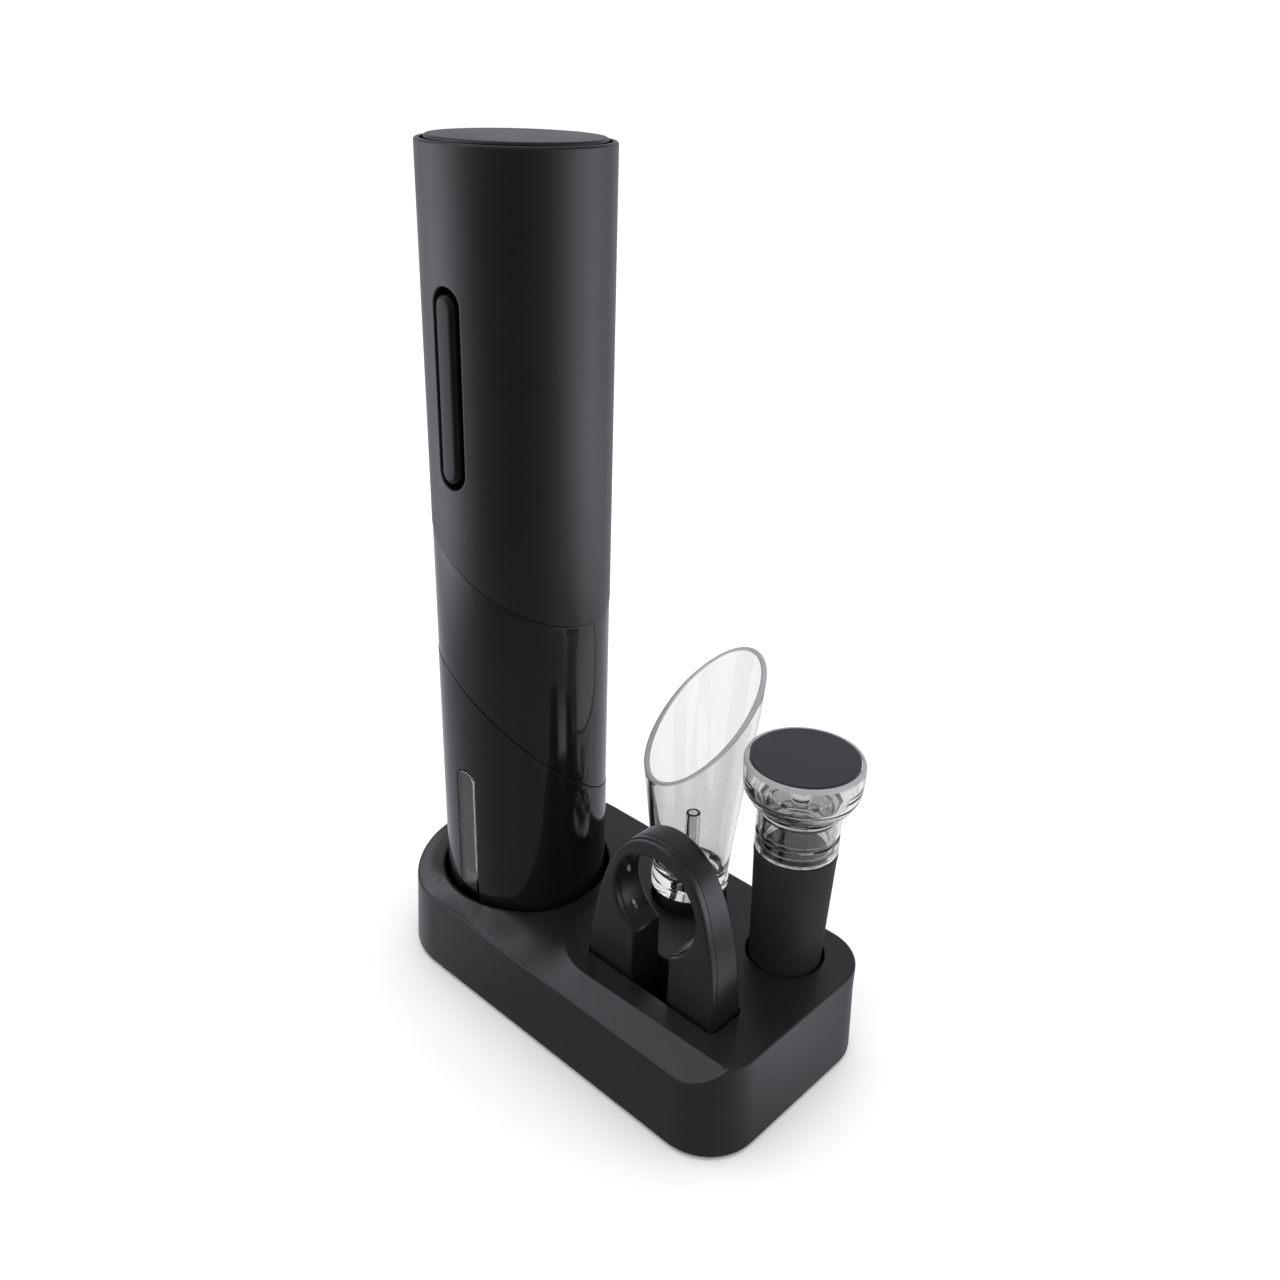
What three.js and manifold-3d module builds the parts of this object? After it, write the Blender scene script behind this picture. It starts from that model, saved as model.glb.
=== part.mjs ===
// Electric wine opener set: a battery opener standing in its storage base,
// with a foil cutter, a wine pourer and a vacuum stopper.
// Millimetres, +Z up, origin at the bottom centre of the whole set, +X along the base away from the opener.
import * as THREE from "three";
import { mergeVertices } from "three/addons/utils/BufferGeometryUtils.js";
import Module from "manifold-3d";

const wasm = await Module();
wasm.setup();

// ---- Driving dimensions -------------------------------------------------------------------------
const GAP = 0.3; // clearance between touching pieces
const ROUND = 20; // sides of a plain round piece

const BASE = {
  halfLength: 70, // top outline
  halfWidth: 35.3,
  grow: 1.5, // how far the foot of the walls stands outside the top outline
  height: 31.5,
  frontHeight: 24.8, // the bevelled front edge
  bevelWidth: 5.6,
  bevelStart: -62, // x where the bevel begins to fade in beside the opener
  bevelFull: -30, // x where it has its whole depth
  corners: { frontLeft: 23.5, frontRight: 15, backRight: 14.5, backLeft: 33 },
  wall: 2.4,
  footHeight: 1.2,
  plate: 2.2,
};
const FOOT = { radius: 6, inset: 13 };
const OPENER = { x: -36.5, y: -5.1, radius: 25, wall: 2, top: 247.1, socketFloor: 6.5 };
const SOCKET_RADIUS = 27.3;
const OPENER_Z = OPENER.socketFloor + GAP;
const OPENER_LENGTH = OPENER.top - OPENER_Z;
const INSIDE = OPENER.radius - OPENER.wall - GAP; // radius of the pieces that fill the housing
const NECK = { radius: 15.5, depth: 28 }; // bore that goes over the bottle's neck
const CORK_GUIDE_RADIUS = 11.6;
const SEAM_UPPER = { middle: 130.8, slope: 0.58, heading: -166 }; // plane under the matt upper housing
const SEAM_LOWER = { middle: 79.2, slope: 0.95, heading: -129 }; // plane over the lower housing
const BAND_RECESS = 0.3;
const WINDOW = { angle: -87, width: 7.6, bottom: 9, top: 69.5 };
const BUTTON = {
  angle: -88,
  slotWidth: 9.4,
  slotLength: 51.8,
  middle: 181.8,
  width: 7.2,
  length: 48.6,
  recess: 0.9,
  thickness: 2.6,
  pivot: -20.6, // local y of the pin the button tilts on
};
const CAP = { radius: 22.6, rise: 0.9, ringWidth: 1.4 };
const CELL = { radius: 7, length: 50, pitch: 7.4, bottom: 167 };
const MOTOR = { radius: 12, bottom: 130.6, top: 163 };
const GEAR = { module: 0.8, sun: 12, planet: 18, ring: 48, face: 6.5 };
const STAGE_ONE_Z = 117.5;
const STAGE_TWO_Z = 107;
const PLANETS = 3;
const WORM = { radius: 3.1, wire: 1.35, pitch: 9.6, turns: 5.6, bottom: 33 };
const CUTTER = {
  x: 32.4,
  front: -21.6,
  back: -9.6,
  bottom: 8.5,
  top: 80.4,
  bore: 14.7,
  boreZ: 60.2,
  gapWidth: 13.2,
};
const POURER = { x: 12, y: 19, ringZ: 39.6, ringRadius: 11.5, mouthZ: 93.5, mouthTilt: 47, mouthHeading: 68 };
const STOPPER = { x: 49.7, y: 19, neckRadius: 11.8, knobRadius: 16.6, knobZ: 98.4, ringZ: 69.3, bowlZ: 83.8 };
const MIDDLE_Y = 0.5; // the pourer's lip overhangs the base, so the set's middle is behind the base's
const HOLE_RADIUS = 12;
const HOLE_FLOOR = 8;

const LOOKS = {
  satin: { color: 0x1b1b1d, roughness: 0.5, metalness: 0 },
  gloss: { color: 0x0e0e10, roughness: 0.12, metalness: 0 },
  rubber: { color: 0x17171a, roughness: 0.8, metalness: 0 },
  clear: { color: 0xdfe3e4, roughness: 0.05, metalness: 0, transparent: true, opacity: 0.4 },
  steel: { color: 0xb9bcc0, roughness: 0.3, metalness: 1 },
  brass: { color: 0xc9a85a, roughness: 0.35, metalness: 1 },
  nylon: { color: 0xd8d6cc, roughness: 0.55, metalness: 0 },
  board: { color: 0x1c4a2a, roughness: 0.5, metalness: 0 },
  cell: { color: 0x30485c, roughness: 0.35, metalness: 0.3 },
};

// ---- Solid helpers ------------------------------------------------------------------------------
// Closed geometry to a solid, whichever way its faces point.
function solid(geometry) {
  const open = geometry.index ? geometry.toNonIndexed() : geometry;
  const bare = new THREE.BufferGeometry().setAttribute("position", open.getAttribute("position"));
  const merged = mergeVertices(bare, 1e-3);
  const index = merged.index.array;
  const kept = [];
  for (let i = 0; i < index.length; i += 3) {
    const [a, b, c] = [index[i], index[i + 1], index[i + 2]];
    if (a !== b && b !== c && c !== a) kept.push(a, b, c);
  }
  const build = (triangles) =>
    new wasm.Manifold(
      new wasm.Mesh({
        numProp: 3,
        vertProperties: merged.attributes.position.array,
        triVerts: new Uint32Array(triangles),
      }),
    );
  const made = build(kept);
  return made.volume() > 0 ? made : build(kept.reverse());
}

// A ring-shaped or round solid from its half section, a list of [radius, z].
function turned(section, sides = ROUND) {
  const profile = section.map(([r, z]) => new THREE.Vector2(r, z));
  const onAxis = section[0][0] === 0 && section[section.length - 1][0] === 0;
  if (!onAxis) profile.push(profile[0].clone());
  return solid(new THREE.LatheGeometry(profile, sides).rotateX(Math.PI / 2));
}

function rod(radius, bottom, top, sides = ROUND) {
  return turned([[0, bottom], [radius, bottom], [radius, top], [0, top]], sides);
}

function tube(outer, inner, bottom, top, sides = ROUND) {
  return turned([[inner, bottom], [outer, bottom], [outer, top], [inner, top]], sides);
}

function slab(x0, x1, y0, y1, z0, z1) {
  const box = new THREE.BoxGeometry(x1 - x0, y1 - y0, z1 - z0);
  return solid(box.translate((x0 + x1) / 2, (y0 + y1) / 2, (z0 + z1) / 2));
}

function extruded(shape, depth, curveSegments = 8) {
  return new THREE.ExtrudeGeometry(shape, { depth, bevelEnabled: false, curveSegments });
}

// A solid moved by three.js: each vertex of its mesh goes through change(Vector3).
function reshaped(body, change) {
  return solid(mapped(geometryOf(body), change));
}

function mapped(geometry, change) {
  const position = geometry.getAttribute("position");
  const point = new THREE.Vector3();
  for (let i = 0; i < position.count; i += 1) {
    change(point.fromBufferAttribute(position, i));
    position.setXYZ(i, point.x, point.y, point.z);
  }
  return geometry;
}

function shifted(body, x, y, z) {
  return reshaped(body, (p) => p.add(new THREE.Vector3(x, y, z)));
}

function spun(body, degrees) {
  const up = new THREE.Vector3(0, 0, 1);
  return reshaped(body, (p) => p.applyAxisAngle(up, THREE.MathUtils.degToRad(degrees)));
}

function geometryOf(body) {
  const { vertProperties, triVerts, numProp } = body.getMesh();
  const geometry = new THREE.BufferGeometry();
  const count = vertProperties.length / numProp;
  const points = new Float32Array(count * 3);
  for (let i = 0; i < count; i += 1) points.set(vertProperties.subarray(i * numProp, i * numProp + 3), i * 3);
  geometry.setAttribute("position", new THREE.BufferAttribute(points, 3));
  geometry.setIndex(new THREE.BufferAttribute(new Uint32Array(triVerts), 1));
  return geometry;
}

function piece(name, body, look) {
  const mesh = new THREE.Mesh(geometryOf(body), new THREE.MeshStandardMaterial(LOOKS[look]));
  mesh.geometry.computeVertexNormals();
  mesh.name = name;
  return mesh;
}

function placed(x, y, z, ...pieces) {
  const group = new THREE.Group();
  group.position.set(x, y, z);
  if (pieces.length) group.add(...pieces);
  return group;
}

// Copies of a body at [x, y] places, joined.
function atEach(places, body) {
  return places.map(([x, y]) => shifted(body, x, y, 0)).reduce((all, next) => all.add(next));
}

// A straight slot shape with round ends, long side along Y.
function stadium(width, length) {
  const r = width / 2;
  const straight = length / 2 - r;
  const shape = new THREE.Shape();
  shape.absarc(0, straight, r, 0, Math.PI);
  shape.absarc(0, -straight, r, Math.PI, 2 * Math.PI);
  return shape;
}

// A stadium that stands upright and cuts or fills radially from the outside of the opener.
function radialStadium(width, length, inner, outer, middle) {
  const geometry = extruded(stadium(width, length), outer - inner, 6);
  return solid(geometry.rotateX(Math.PI / 2).translate(0, -inner, middle));
}

// The space above a slanted plane through the opener's axis.
function aboveSeam({ middle, slope, heading }, lift = 0) {
  const along = THREE.MathUtils.degToRad(heading);
  const reach = 40;
  const box = new THREE.BoxGeometry(2 * reach, 2 * reach, 2 * reach).translate(0, 0, reach);
  mapped(box, (p) => {
    const tilted = slope * (p.x * Math.cos(along) + p.y * Math.sin(along));
    p.z += p.z < reach ? middle + lift + tilted : 2 * OPENER_LENGTH;
  });
  return solid(box);
}

// ---- Storage base -------------------------------------------------------------------------------
function baseOutline(offset) {
  const x = BASE.halfLength + offset;
  const y = BASE.halfWidth + offset;
  const { frontLeft, frontRight, backRight, backLeft } = BASE.corners;
  const shape = new THREE.Shape();
  const corner = (cx, cy, r, from) => shape.absarc(cx, cy, r, from, from + Math.PI / 2);
  const [fl, fr, br, bl] = [frontLeft, frontRight, backRight, backLeft].map((r) => r + offset);
  corner(-x + fl, -y + fl, fl, Math.PI);
  corner(x - fr, -y + fr, fr, 1.5 * Math.PI);
  corner(x - br, y - br, br, 0);
  corner(-x + bl, y - bl, bl, 0.5 * Math.PI);
  return shape;
}

// The base's outer or inner block, wider at the foot than at the top.
function draftedBlock(offset, bottom, top) {
  const block = extruded(baseOutline(offset), top - bottom, 5).translate(0, 0, bottom);
  mapped(block, (p) => {
    const out = BASE.grow * (1 - p.z / BASE.height);
    p.x *= 1 + out / BASE.halfLength;
    p.y *= 1 + out / BASE.halfWidth;
  });
  return solid(block);
}

// What the front bevel takes off: a wedge along the front edge that fades out beside the opener.
function bevelCut() {
  const front = -BASE.halfWidth;
  const drop = BASE.height - BASE.frontHeight;
  const spare = 6; // how far the wedge reaches outside the base
  const steepness = drop / BASE.bevelWidth;
  const section = new THREE.Shape();
  section.moveTo(BASE.bevelWidth, 0);
  section.lineTo(BASE.bevelWidth, spare);
  section.lineTo(-spare, spare);
  section.lineTo(-spare, -drop - spare * steepness);
  const length = BASE.halfLength + spare - BASE.bevelStart;
  const wedge = new THREE.ExtrudeGeometry(section, { depth: length, steps: 6, bevelEnabled: false });
  wedge.rotateX(Math.PI / 2).rotateZ(Math.PI / 2);
  mapped(wedge, (p) => {
    p.x += BASE.bevelStart;
    const fade = THREE.MathUtils.smoothstep(p.x, BASE.bevelStart, BASE.bevelFull);
    if (p.z < 0) p.z *= fade;
    p.y += front;
    p.z += BASE.height + 0.01;
  });
  return solid(wedge);
}

function cutterSlot(bottom, wall) {
  const side = 24.6 + wall;
  const shape = new THREE.Shape();
  const [y0, y1] = [CUTTER.front - 1.2 - wall, CUTTER.back + 1.6 + wall];
  const r = 2.5;
  shape.absarc(-side + r, y0 + r, r, Math.PI, 1.5 * Math.PI);
  shape.absarc(side - r, y0 + r, r, 1.5 * Math.PI, 2 * Math.PI);
  shape.absarc(side - r, y1 - r, r, 0, 0.5 * Math.PI);
  shape.absarc(-side + r, y1 - r, r, 0.5 * Math.PI, Math.PI);
  const depth = BASE.height + 1 - bottom;
  return solid(extruded(shape, depth, 4).translate(CUTTER.x, 0, bottom));
}

function storageBase() {
  const plateTop = BASE.footHeight + BASE.plate;
  const roof = BASE.height - BASE.wall;
  const inner = draftedBlock(-BASE.wall, 0, roof);
  const stemHoles = [[POURER.x, POURER.y], [STOPPER.x, STOPPER.y]];
  const below = slab(-80, 80, -60, 60, 0, BASE.height);
  const cups = shifted(rod(SOCKET_RADIUS + BASE.wall, plateTop + GAP, BASE.height), OPENER.x, OPENER.y, 0)
    .add(atEach(stemHoles, rod(HOLE_RADIUS + 2, HOLE_FLOOR - 2, BASE.height)))
    .add(cutterSlot(CUTTER.bottom - 2.3, 2).intersect(below));
  const bosses = atEach(screwPlaces(), rod(4, plateTop + GAP, roof + 1, 12));
  const block = draftedBlock(0, BASE.footHeight, BASE.height);
  const holes = shifted(rod(SOCKET_RADIUS, OPENER.socketFloor, BASE.height + 1, 32), OPENER.x, OPENER.y, 0)
    .add(atEach(stemHoles, rod(HOLE_RADIUS, HOLE_FLOOR, BASE.height + 1)))
    .add(cutterSlot(CUTTER.bottom - 0.3, 0))
    .add(atEach(screwPlaces(), rod(1.6, 0, 16, 8)));
  const innerUnderBevel = inner.subtract(shifted(bevelCut(), 0, 2.2, -BASE.wall));
  const shell = block.subtract(innerUnderBevel).add(cups.intersect(block)).add(bosses.intersect(block));
  return piece("base_housing", shell.subtract(bevelCut()).subtract(holes), "satin");
}

function screwPlaces() {
  return [[-3, -29], [-3, 29], [63.5, -13], [31, 28]];
}

function footPlaces() {
  const x = BASE.halfLength - FOOT.inset;
  const y = BASE.halfWidth - FOOT.inset;
  return [[-x + 6, -y + 1], [x, -y], [x, y], [-x + 10, y - 2]];
}

function basePlate() {
  const top = BASE.footHeight + BASE.plate;
  const screwHole = rod(1.9, 0, top + 1, 8).add(rod(3.6, 0, BASE.footHeight + 1.2, 8));
  const footRecess = rod(FOOT.radius + GAP, 0, BASE.footHeight + 0.8, 12);
  const plate = draftedBlock(-BASE.wall - GAP, BASE.footHeight, top)
    .subtract(atEach(screwPlaces(), screwHole))
    .subtract(atEach(footPlaces(), footRecess));
  return piece("base_plate", plate, "satin");
}

function basePieces() {
  const feet = footPlaces().map(([x, y], i) => {
    const section = [[0, 0], [FOOT.radius - 0.8, 0], [FOOT.radius, 0.8], [FOOT.radius, 1.8], [0, 1.8]];
    return placed(x, y, 0, piece(`rubber_foot_${i + 1}`, turned(section, 16), "rubber"));
  });
  const screws = screwPlaces().map(([x, y], i) => {
    const section = [[0, 0], [3.2, 0], [3.2, 0.7], [1.3, 1], [1.3, 11], [0, 12]];
    return placed(x, y, BASE.footHeight + 0.1, piece(`base_screw_${i + 1}`, turned(section, 12), "steel"));
  });
  return placed(0, 0, 0, storageBase(), basePlate(), ...feet, ...screws);
}

// ---- Opener: housings ---------------------------------------------------------------------------
function windowCut(extra, inner, outer) {
  const length = WINDOW.top - WINDOW.bottom;
  const middle = (WINDOW.top + WINDOW.bottom) / 2;
  const cut = radialStadium(WINDOW.width + extra, length + extra, inner, outer, middle);
  return spun(cut, WINDOW.angle + 90);
}

function lowerHousing() {
  const r = OPENER.radius;
  const bore = r - OPENER.wall;
  const section = [[bore, 0], [r - 1.2, 0], [r, 1.2], [r, 140], [bore, 140]];
  const body = turned(section, 36).subtract(aboveSeam(SEAM_LOWER)).subtract(windowCut(0, bore - 2, r + 2));
  return piece("lower_housing", body, "gloss");
}

function accentBand() {
  const r = OPENER.radius - BAND_RECESS;
  const body = tube(r, r - 1.9, 20, 180, 36);
  const band = body.intersect(aboveSeam(SEAM_LOWER, GAP)).subtract(aboveSeam(SEAM_UPPER, -GAP));
  return piece("accent_band", band, "gloss");
}

function buttonSlot(extra, inner, outer) {
  const { slotWidth, slotLength, middle } = BUTTON;
  return spun(radialStadium(slotWidth + extra, slotLength + extra, inner, outer, middle), BUTTON.angle + 90);
}

function upperHousing() {
  const r = OPENER.radius;
  const bore = r - OPENER.wall;
  const top = OPENER_LENGTH;
  const section = [
    [bore, 90],
    [r, 90],
    [r, top - 0.6],
    [r - 0.6, top],
    [CAP.radius + 1, top],
    [CAP.radius + 1, top - 7],
    [bore, top - 8],
  ];
  const body = turned(section, 36).intersect(aboveSeam(SEAM_UPPER)).subtract(buttonSlot(0, bore - 3, r + 2));
  return piece("upper_housing", body, "satin");
}

function topCap() {
  const top = OPENER_LENGTH + CAP.rise;
  const r = CAP.radius;
  const section = [[0, top - 5], [r - 2, top - 5], [r, top - 4], [r, top - 0.8], [r - 0.8, top], [0, top]];
  return piece("battery_cap", turned(section, 36), "satin");
}

function capSeal() {
  const z = OPENER_LENGTH - 7;
  return piece("cap_seal_ring", tube(21.8, 20.2, z + GAP, z + 1.9), "rubber");
}

function windowLens() {
  const r = OPENER.radius;
  const ring = tube(r + 0.2, r - OPENER.wall, 0, 100, 72);
  const lens = ring.intersect(windowCut(-0.5, r - 4, r + 2));
  return piece("window_lens", lens, "clear");
}

// A round bar along the rocker's tilt axis.
function rockerAxisRod(radius, length) {
  const bar = new THREE.CylinderGeometry(radius, radius, length, 12).rotateZ(Math.PI / 2);
  return solid(bar.translate(0, BUTTON.pivot, BUTTON.middle));
}

function rockerButton() {
  const { width, length, middle } = BUTTON;
  const face = OPENER.radius - BUTTON.recess;
  const inner = face - BUTTON.thickness;
  const cap = solid(
    new THREE.ExtrudeGeometry(stadium(width - 1, length - 1), {
      depth: face - inner,
      bevelEnabled: true,
      bevelSize: 0.5,
      bevelThickness: 0.5,
      bevelSegments: 1,
      curveSegments: 6,
    })
      .rotateX(Math.PI / 2)
      .translate(0, -inner, middle),
  );
  const post = (z) => slab(-1.6, 1.6, -inner - 0.5, -20.9, z - 1.6, z + 1.6);
  const hub = rockerAxisRod(1.9, 6);
  const body = cap.add(hub).add(post(middle - 17)).add(post(middle + 17)).subtract(rockerAxisRod(0.95, 20));
  return piece("rocker_button", spun(body, BUTTON.angle + 90), "satin");
}

function rockerPin() {
  return piece("rocker_pin", spun(rockerAxisRod(0.8, 12), BUTTON.angle + 90), "steel");
}

// The inner frame that carries board, button pin, motor and cells; one open-sided moulding.
function innerChassis() {
  const outer = INSIDE;
  const bottom = MOTOR.bottom - 2.4;
  const floor = rod(outer, bottom, bottom + 2);
  const boardRoom = slab(-9, 9, -30, -16.2, 0, OPENER_LENGTH);
  const shelf = rod(outer, MOTOR.top + 0.6, CELL.bottom - 1.6).subtract(boardRoom);
  const backHalf = slab(-30, 30, -1, 30, 0, OPENER_LENGTH);
  const side = tube(outer, outer - 1.6, bottom, OPENER_LENGTH - 14).intersect(backHalf);
  const motorRoom = rod(MOTOR.radius + GAP, bottom + 2, MOTOR.top + 0.6);
  const cradle = rod(MOTOR.radius + 1.6, bottom, MOTOR.top + 1).subtract(motorRoom);
  const cheek = (x) => slab(x - 1, x + 1, -22, -14.5, BUTTON.middle - 4, BUTTON.middle + 4);
  const spine = slab(-7.6, 7.6, -16.2, -14.9, CELL.bottom - 1.7, OPENER_LENGTH - 14);
  const pinHole = rockerAxisRod(1.1, 20);
  const bracket = cheek(-5.4).add(cheek(5.4)).subtract(pinHole);
  let frame = floor.add(shelf).add(side).add(cradle).add(spine).add(spun(bracket, BUTTON.angle + 90));
  for (const [x, y] of cellPlaces()) {
    frame = frame.subtract(shifted(rod(CELL.radius + GAP, CELL.bottom - GAP, OPENER_LENGTH, 12), x, y, 0));
  }
  const wireWay = slab(-5, 5, -4, 4, MOTOR.top, CELL.bottom);
  frame = frame.subtract(rod(4, bottom - 1, bottom + 3)).subtract(wireWay);
  return piece("inner_chassis", frame, "nylon");
}

function cellPlaces() {
  const p = CELL.pitch;
  return [[-p, -p + 0.6], [p, -p + 0.6], [p, p + 0.6], [-p, p + 0.6]];
}

function cellPieces() {
  return cellPlaces().map(([x, y], i) => {
    const { radius: r, length } = CELL;
    const section = [[0, 0], [r, 0], [r, length - 1.6], [2.7, length - 1.6], [2.7, length], [0, length]];
    const flip = i % 2 ? section.map(([a, b]) => [a, length - b]) : section;
    return placed(x, y, CELL.bottom, piece(`battery_cell_${i + 1}`, turned(flip, 16), "cell"));
  });
}

function electricPieces() {
  const z = BUTTON.middle;
  const waist = slab(-3.4, 3.4, -17.4, -16.5, z - 5, z + 5);
  const half = (z0, z1) => slab(-4.2, 4.2, -17.4, -16.5, z0, z1);
  const board = half(z - 23, z - 4.5).add(half(z + 4.5, z + 23)).add(waist);
  const plunger = () => solid(new THREE.CylinderGeometry(1.4, 1.4, 0.7, 12).translate(0, -1.9, 0));
  const switchBody = () => slab(-3, 3, -1.6, 0, -3, 3).add(plunger());
  const contactZ = CELL.bottom + CELL.length + GAP;
  return [
    piece("circuit_board", board, "board"),
    placed(0, -17.7, z + 17, piece("switch_up", switchBody(), "satin")),
    placed(0, -17.7, z - 17, piece("switch_down", switchBody(), "satin")),
    piece("contact_plate_top", slab(-13, 13, -12.4, 13.6, contactZ, contactZ + 0.6), "brass"),
  ];
}

// ---- Opener: drive ------------------------------------------------------------------------------
// Outline of a gear with straight-flanked teeth; inward teeth make a ring gear's bore.
function gearOutline(teeth, inward = false) {
  const m = GEAR.module;
  const pitch = (m * teeth) / 2;
  const [tip, root] = inward ? [pitch - 0.8 * m, pitch + 1.1 * m] : [pitch + 0.8 * m, pitch - 1.1 * m];
  const step = (2 * Math.PI) / teeth;
  const lean = 0.36 * m; // half a tooth's growth from pitch line to root
  const half = 0.44 * step * 0.5;
  const tipHalf = half - lean / pitch / 1.6;
  const rootHalf = half + lean / pitch;
  const points = [];
  for (let i = 0; i < teeth; i += 1) {
    const a = i * step;
    const corners = [[root, -rootHalf], [tip, -tipHalf], [tip, tipHalf], [root, rootHalf]];
    for (const [r, off] of corners) {
      points.push(new THREE.Vector2(r * Math.cos(a + off), r * Math.sin(a + off)));
    }
  }
  return points;
}

function gear(teeth, bottom, face, turn = 0) {
  const body = extruded(new THREE.Shape(gearOutline(teeth)), face).rotateZ(turn).translate(0, 0, bottom);
  return solid(body);
}

const ORBIT = (GEAR.module * (GEAR.sun + GEAR.planet)) / 2;

function planetAngles() {
  return Array.from({ length: PLANETS }, (_, i) => (i * 2 * Math.PI) / PLANETS);
}

// Planet gears sit so that a gap faces the sun's tooth and another faces the ring's tooth.
function planetPieces(stage, bottom) {
  const halfTooth = Math.PI / GEAR.planet;
  return planetAngles().map((angle, i) => {
    const body = gear(GEAR.planet, 0, GEAR.face, angle + halfTooth).subtract(rod(2.3, -1, GEAR.face + 1, 12));
    const x = ORBIT * Math.cos(angle);
    const y = ORBIT * Math.sin(angle);
    return placed(x, y, bottom, piece(`planet_gear_${stage}${"abc"[i]}`, body, "nylon"));
  });
}

function carrierPins(bottom, top) {
  const places = planetAngles().map((a) => [ORBIT * Math.cos(a), ORBIT * Math.sin(a)]);
  return atEach(places, rod(2, bottom, top, 12));
}

function ringGear() {
  const shape = new THREE.Shape();
  shape.absarc(0, 0, INSIDE, 0, 2 * Math.PI);
  shape.holes.push(new THREE.Path(gearOutline(GEAR.ring, true)));
  const bottom = 101.4;
  const top = STAGE_ONE_Z + GEAR.face + 0.6;
  const body = solid(extruded(shape, top - bottom, 12).translate(0, 0, bottom));
  return piece("ring_gear", body, "nylon");
}

function motorPieces() {
  const { radius, bottom, top } = MOTOR;
  const nose = [[2, bottom - 1.6], [3, bottom - 1.6], [3, bottom], [radius, bottom]];
  const can = turned([...nose, [radius, top - 1], [radius - 1, top], [0, top], [0, top - 4], [2, top - 4]]);
  const pinionTop = STAGE_ONE_Z + GEAR.face;
  const shaft = rod(1.2, STAGE_ONE_Z + 1, top - 5, 12);
  const collar = rod(3, pinionTop - 0.5, pinionTop + 1, 16);
  const rotor = gear(GEAR.sun, STAGE_ONE_Z, GEAR.face).add(shaft).add(collar);
  const shaftHole = rod(3.6, pinionTop, pinionTop + 4, 20);
  const plate = rod(INSIDE, pinionTop + 0.9, pinionTop + 3).subtract(shaftHole);
  return {
    can: piece("motor", can, "steel"),
    rotor: piece("motor_pinion", rotor, "brass"),
    plate: piece("gearbox_plate", plate, "steel"),
  };
}

function carrierOne() {
  const discBottom = STAGE_ONE_Z - 2.6;
  const disc = rod(15, discBottom, STAGE_ONE_Z - GAP - 0.2);
  const sun = gear(GEAR.sun, STAGE_TWO_Z, discBottom - STAGE_TWO_Z + 0.5);
  const pins = carrierPins(discBottom + 1, STAGE_ONE_Z + GEAR.face);
  return piece("carrier_one", disc.add(sun).add(pins), "steel");
}

function carrierTwo() {
  const discBottom = STAGE_TWO_Z - 3;
  const disc = rod(15, discBottom, STAGE_TWO_Z - GAP - 0.2);
  const shaft = rod(3.5, 96.5, discBottom + 1, 16);
  const pins = carrierPins(discBottom + 1, STAGE_TWO_Z + GEAR.face);
  return piece("drive_spindle", disc.add(shaft).add(pins), "steel");
}

function bearingPlate() {
  const plate = rod(INSIDE, 98.4, 101).subtract(rod(6.3, 90, 110, 20));
  const bush = turned([[3.8, 97.6], [8, 97.6], [8, 98.1], [6, 98.1], [6, 101.4], [3.8, 101.4]], 20);
  return [piece("bearing_plate", plate, "steel"), piece("spindle_bush", bush, "brass")];
}

class Helix extends THREE.Curve {
  getPoint(t, target = new THREE.Vector3()) {
    const angle = t * WORM.turns * 2 * Math.PI;
    const z = WORM.bottom + 2 + t * WORM.turns * WORM.pitch;
    return target.set(WORM.radius * Math.cos(angle), WORM.radius * Math.sin(angle), z);
  }
}

function corkscrew() {
  const wire = new THREE.Shape();
  wire.absarc(0, 0, WORM.wire, 0, 2 * Math.PI);
  const path = { steps: 44, extrudePath: new Helix(), curveSegments: 3, bevelEnabled: false };
  const coil = new THREE.ExtrudeGeometry(wire, path);
  const tip = new THREE.ConeGeometry(WORM.wire * 0.95, 5, 8).rotateX(-Math.PI * 0.62);
  tip.translate(WORM.radius, -2, WORM.bottom + 1.1);
  const hubBottom = WORM.bottom + 2 + WORM.turns * WORM.pitch - 1.6;
  const hub = turned([[0, hubBottom], [4.6, hubBottom], [5, hubBottom + 1], [5, 96.1], [0, 96.1]], 16);
  return piece("corkscrew", solid(coil).add(solid(tip)).add(hub), "steel");
}

// Collar at the mouth: neck bore below, a shoulder, and the ribbed guide that keeps the cork from turning.
function bottleCollar() {
  const { radius: r, depth } = NECK;
  const guide = CORK_GUIDE_RADIUS;
  const outside = [[r + 2.5, 0.6], [INSIDE, 0.6], [INSIDE, depth + 4], [guide + 1.6, depth + 4]];
  let body = turned([...outside, [guide + 1.6, 88], [guide, 88], [guide, depth], [r, depth], [r, 5]], 24);
  body = body.subtract(spun(slab(-5, 5, -30, -5, depth + 6, 80), WINDOW.angle + 90));
  const rib = (angle) => spun(slab(-0.6, 0.6, guide - 1.2, guide + 0.4, depth + 0.5, 84), angle);
  for (const angle of [0, 120, 240]) body = body.add(rib(angle));
  return piece("bottle_collar", body, "clear");
}

function ledPiece() {
  const dome = turned([[0, 0], [1.5, 0], [1.5, 3], [1, 4], [0, 4.4]], 12);
  return placed(0, 17.2, 90.5, piece("chamber_led", dome, "clear"));
}

function openerPieces() {
  const { can, rotor, plate } = motorPieces();
  const group = placed(OPENER.x, OPENER.y, OPENER_Z);
  group.add(upperHousing(), accentBand(), lowerHousing(), topCap(), capSeal(), windowLens());
  group.add(rockerButton(), rockerPin(), innerChassis(), ...cellPieces(), ...electricPieces());
  group.add(can, rotor, plate, ringGear(), carrierOne(), carrierTwo(), ...bearingPlate());
  group.add(...planetPieces("one_", STAGE_ONE_Z), ...planetPieces("two_", STAGE_TWO_Z));
  group.add(corkscrew(), bottleCollar(), ledPiece());
  return group;
}

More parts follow.
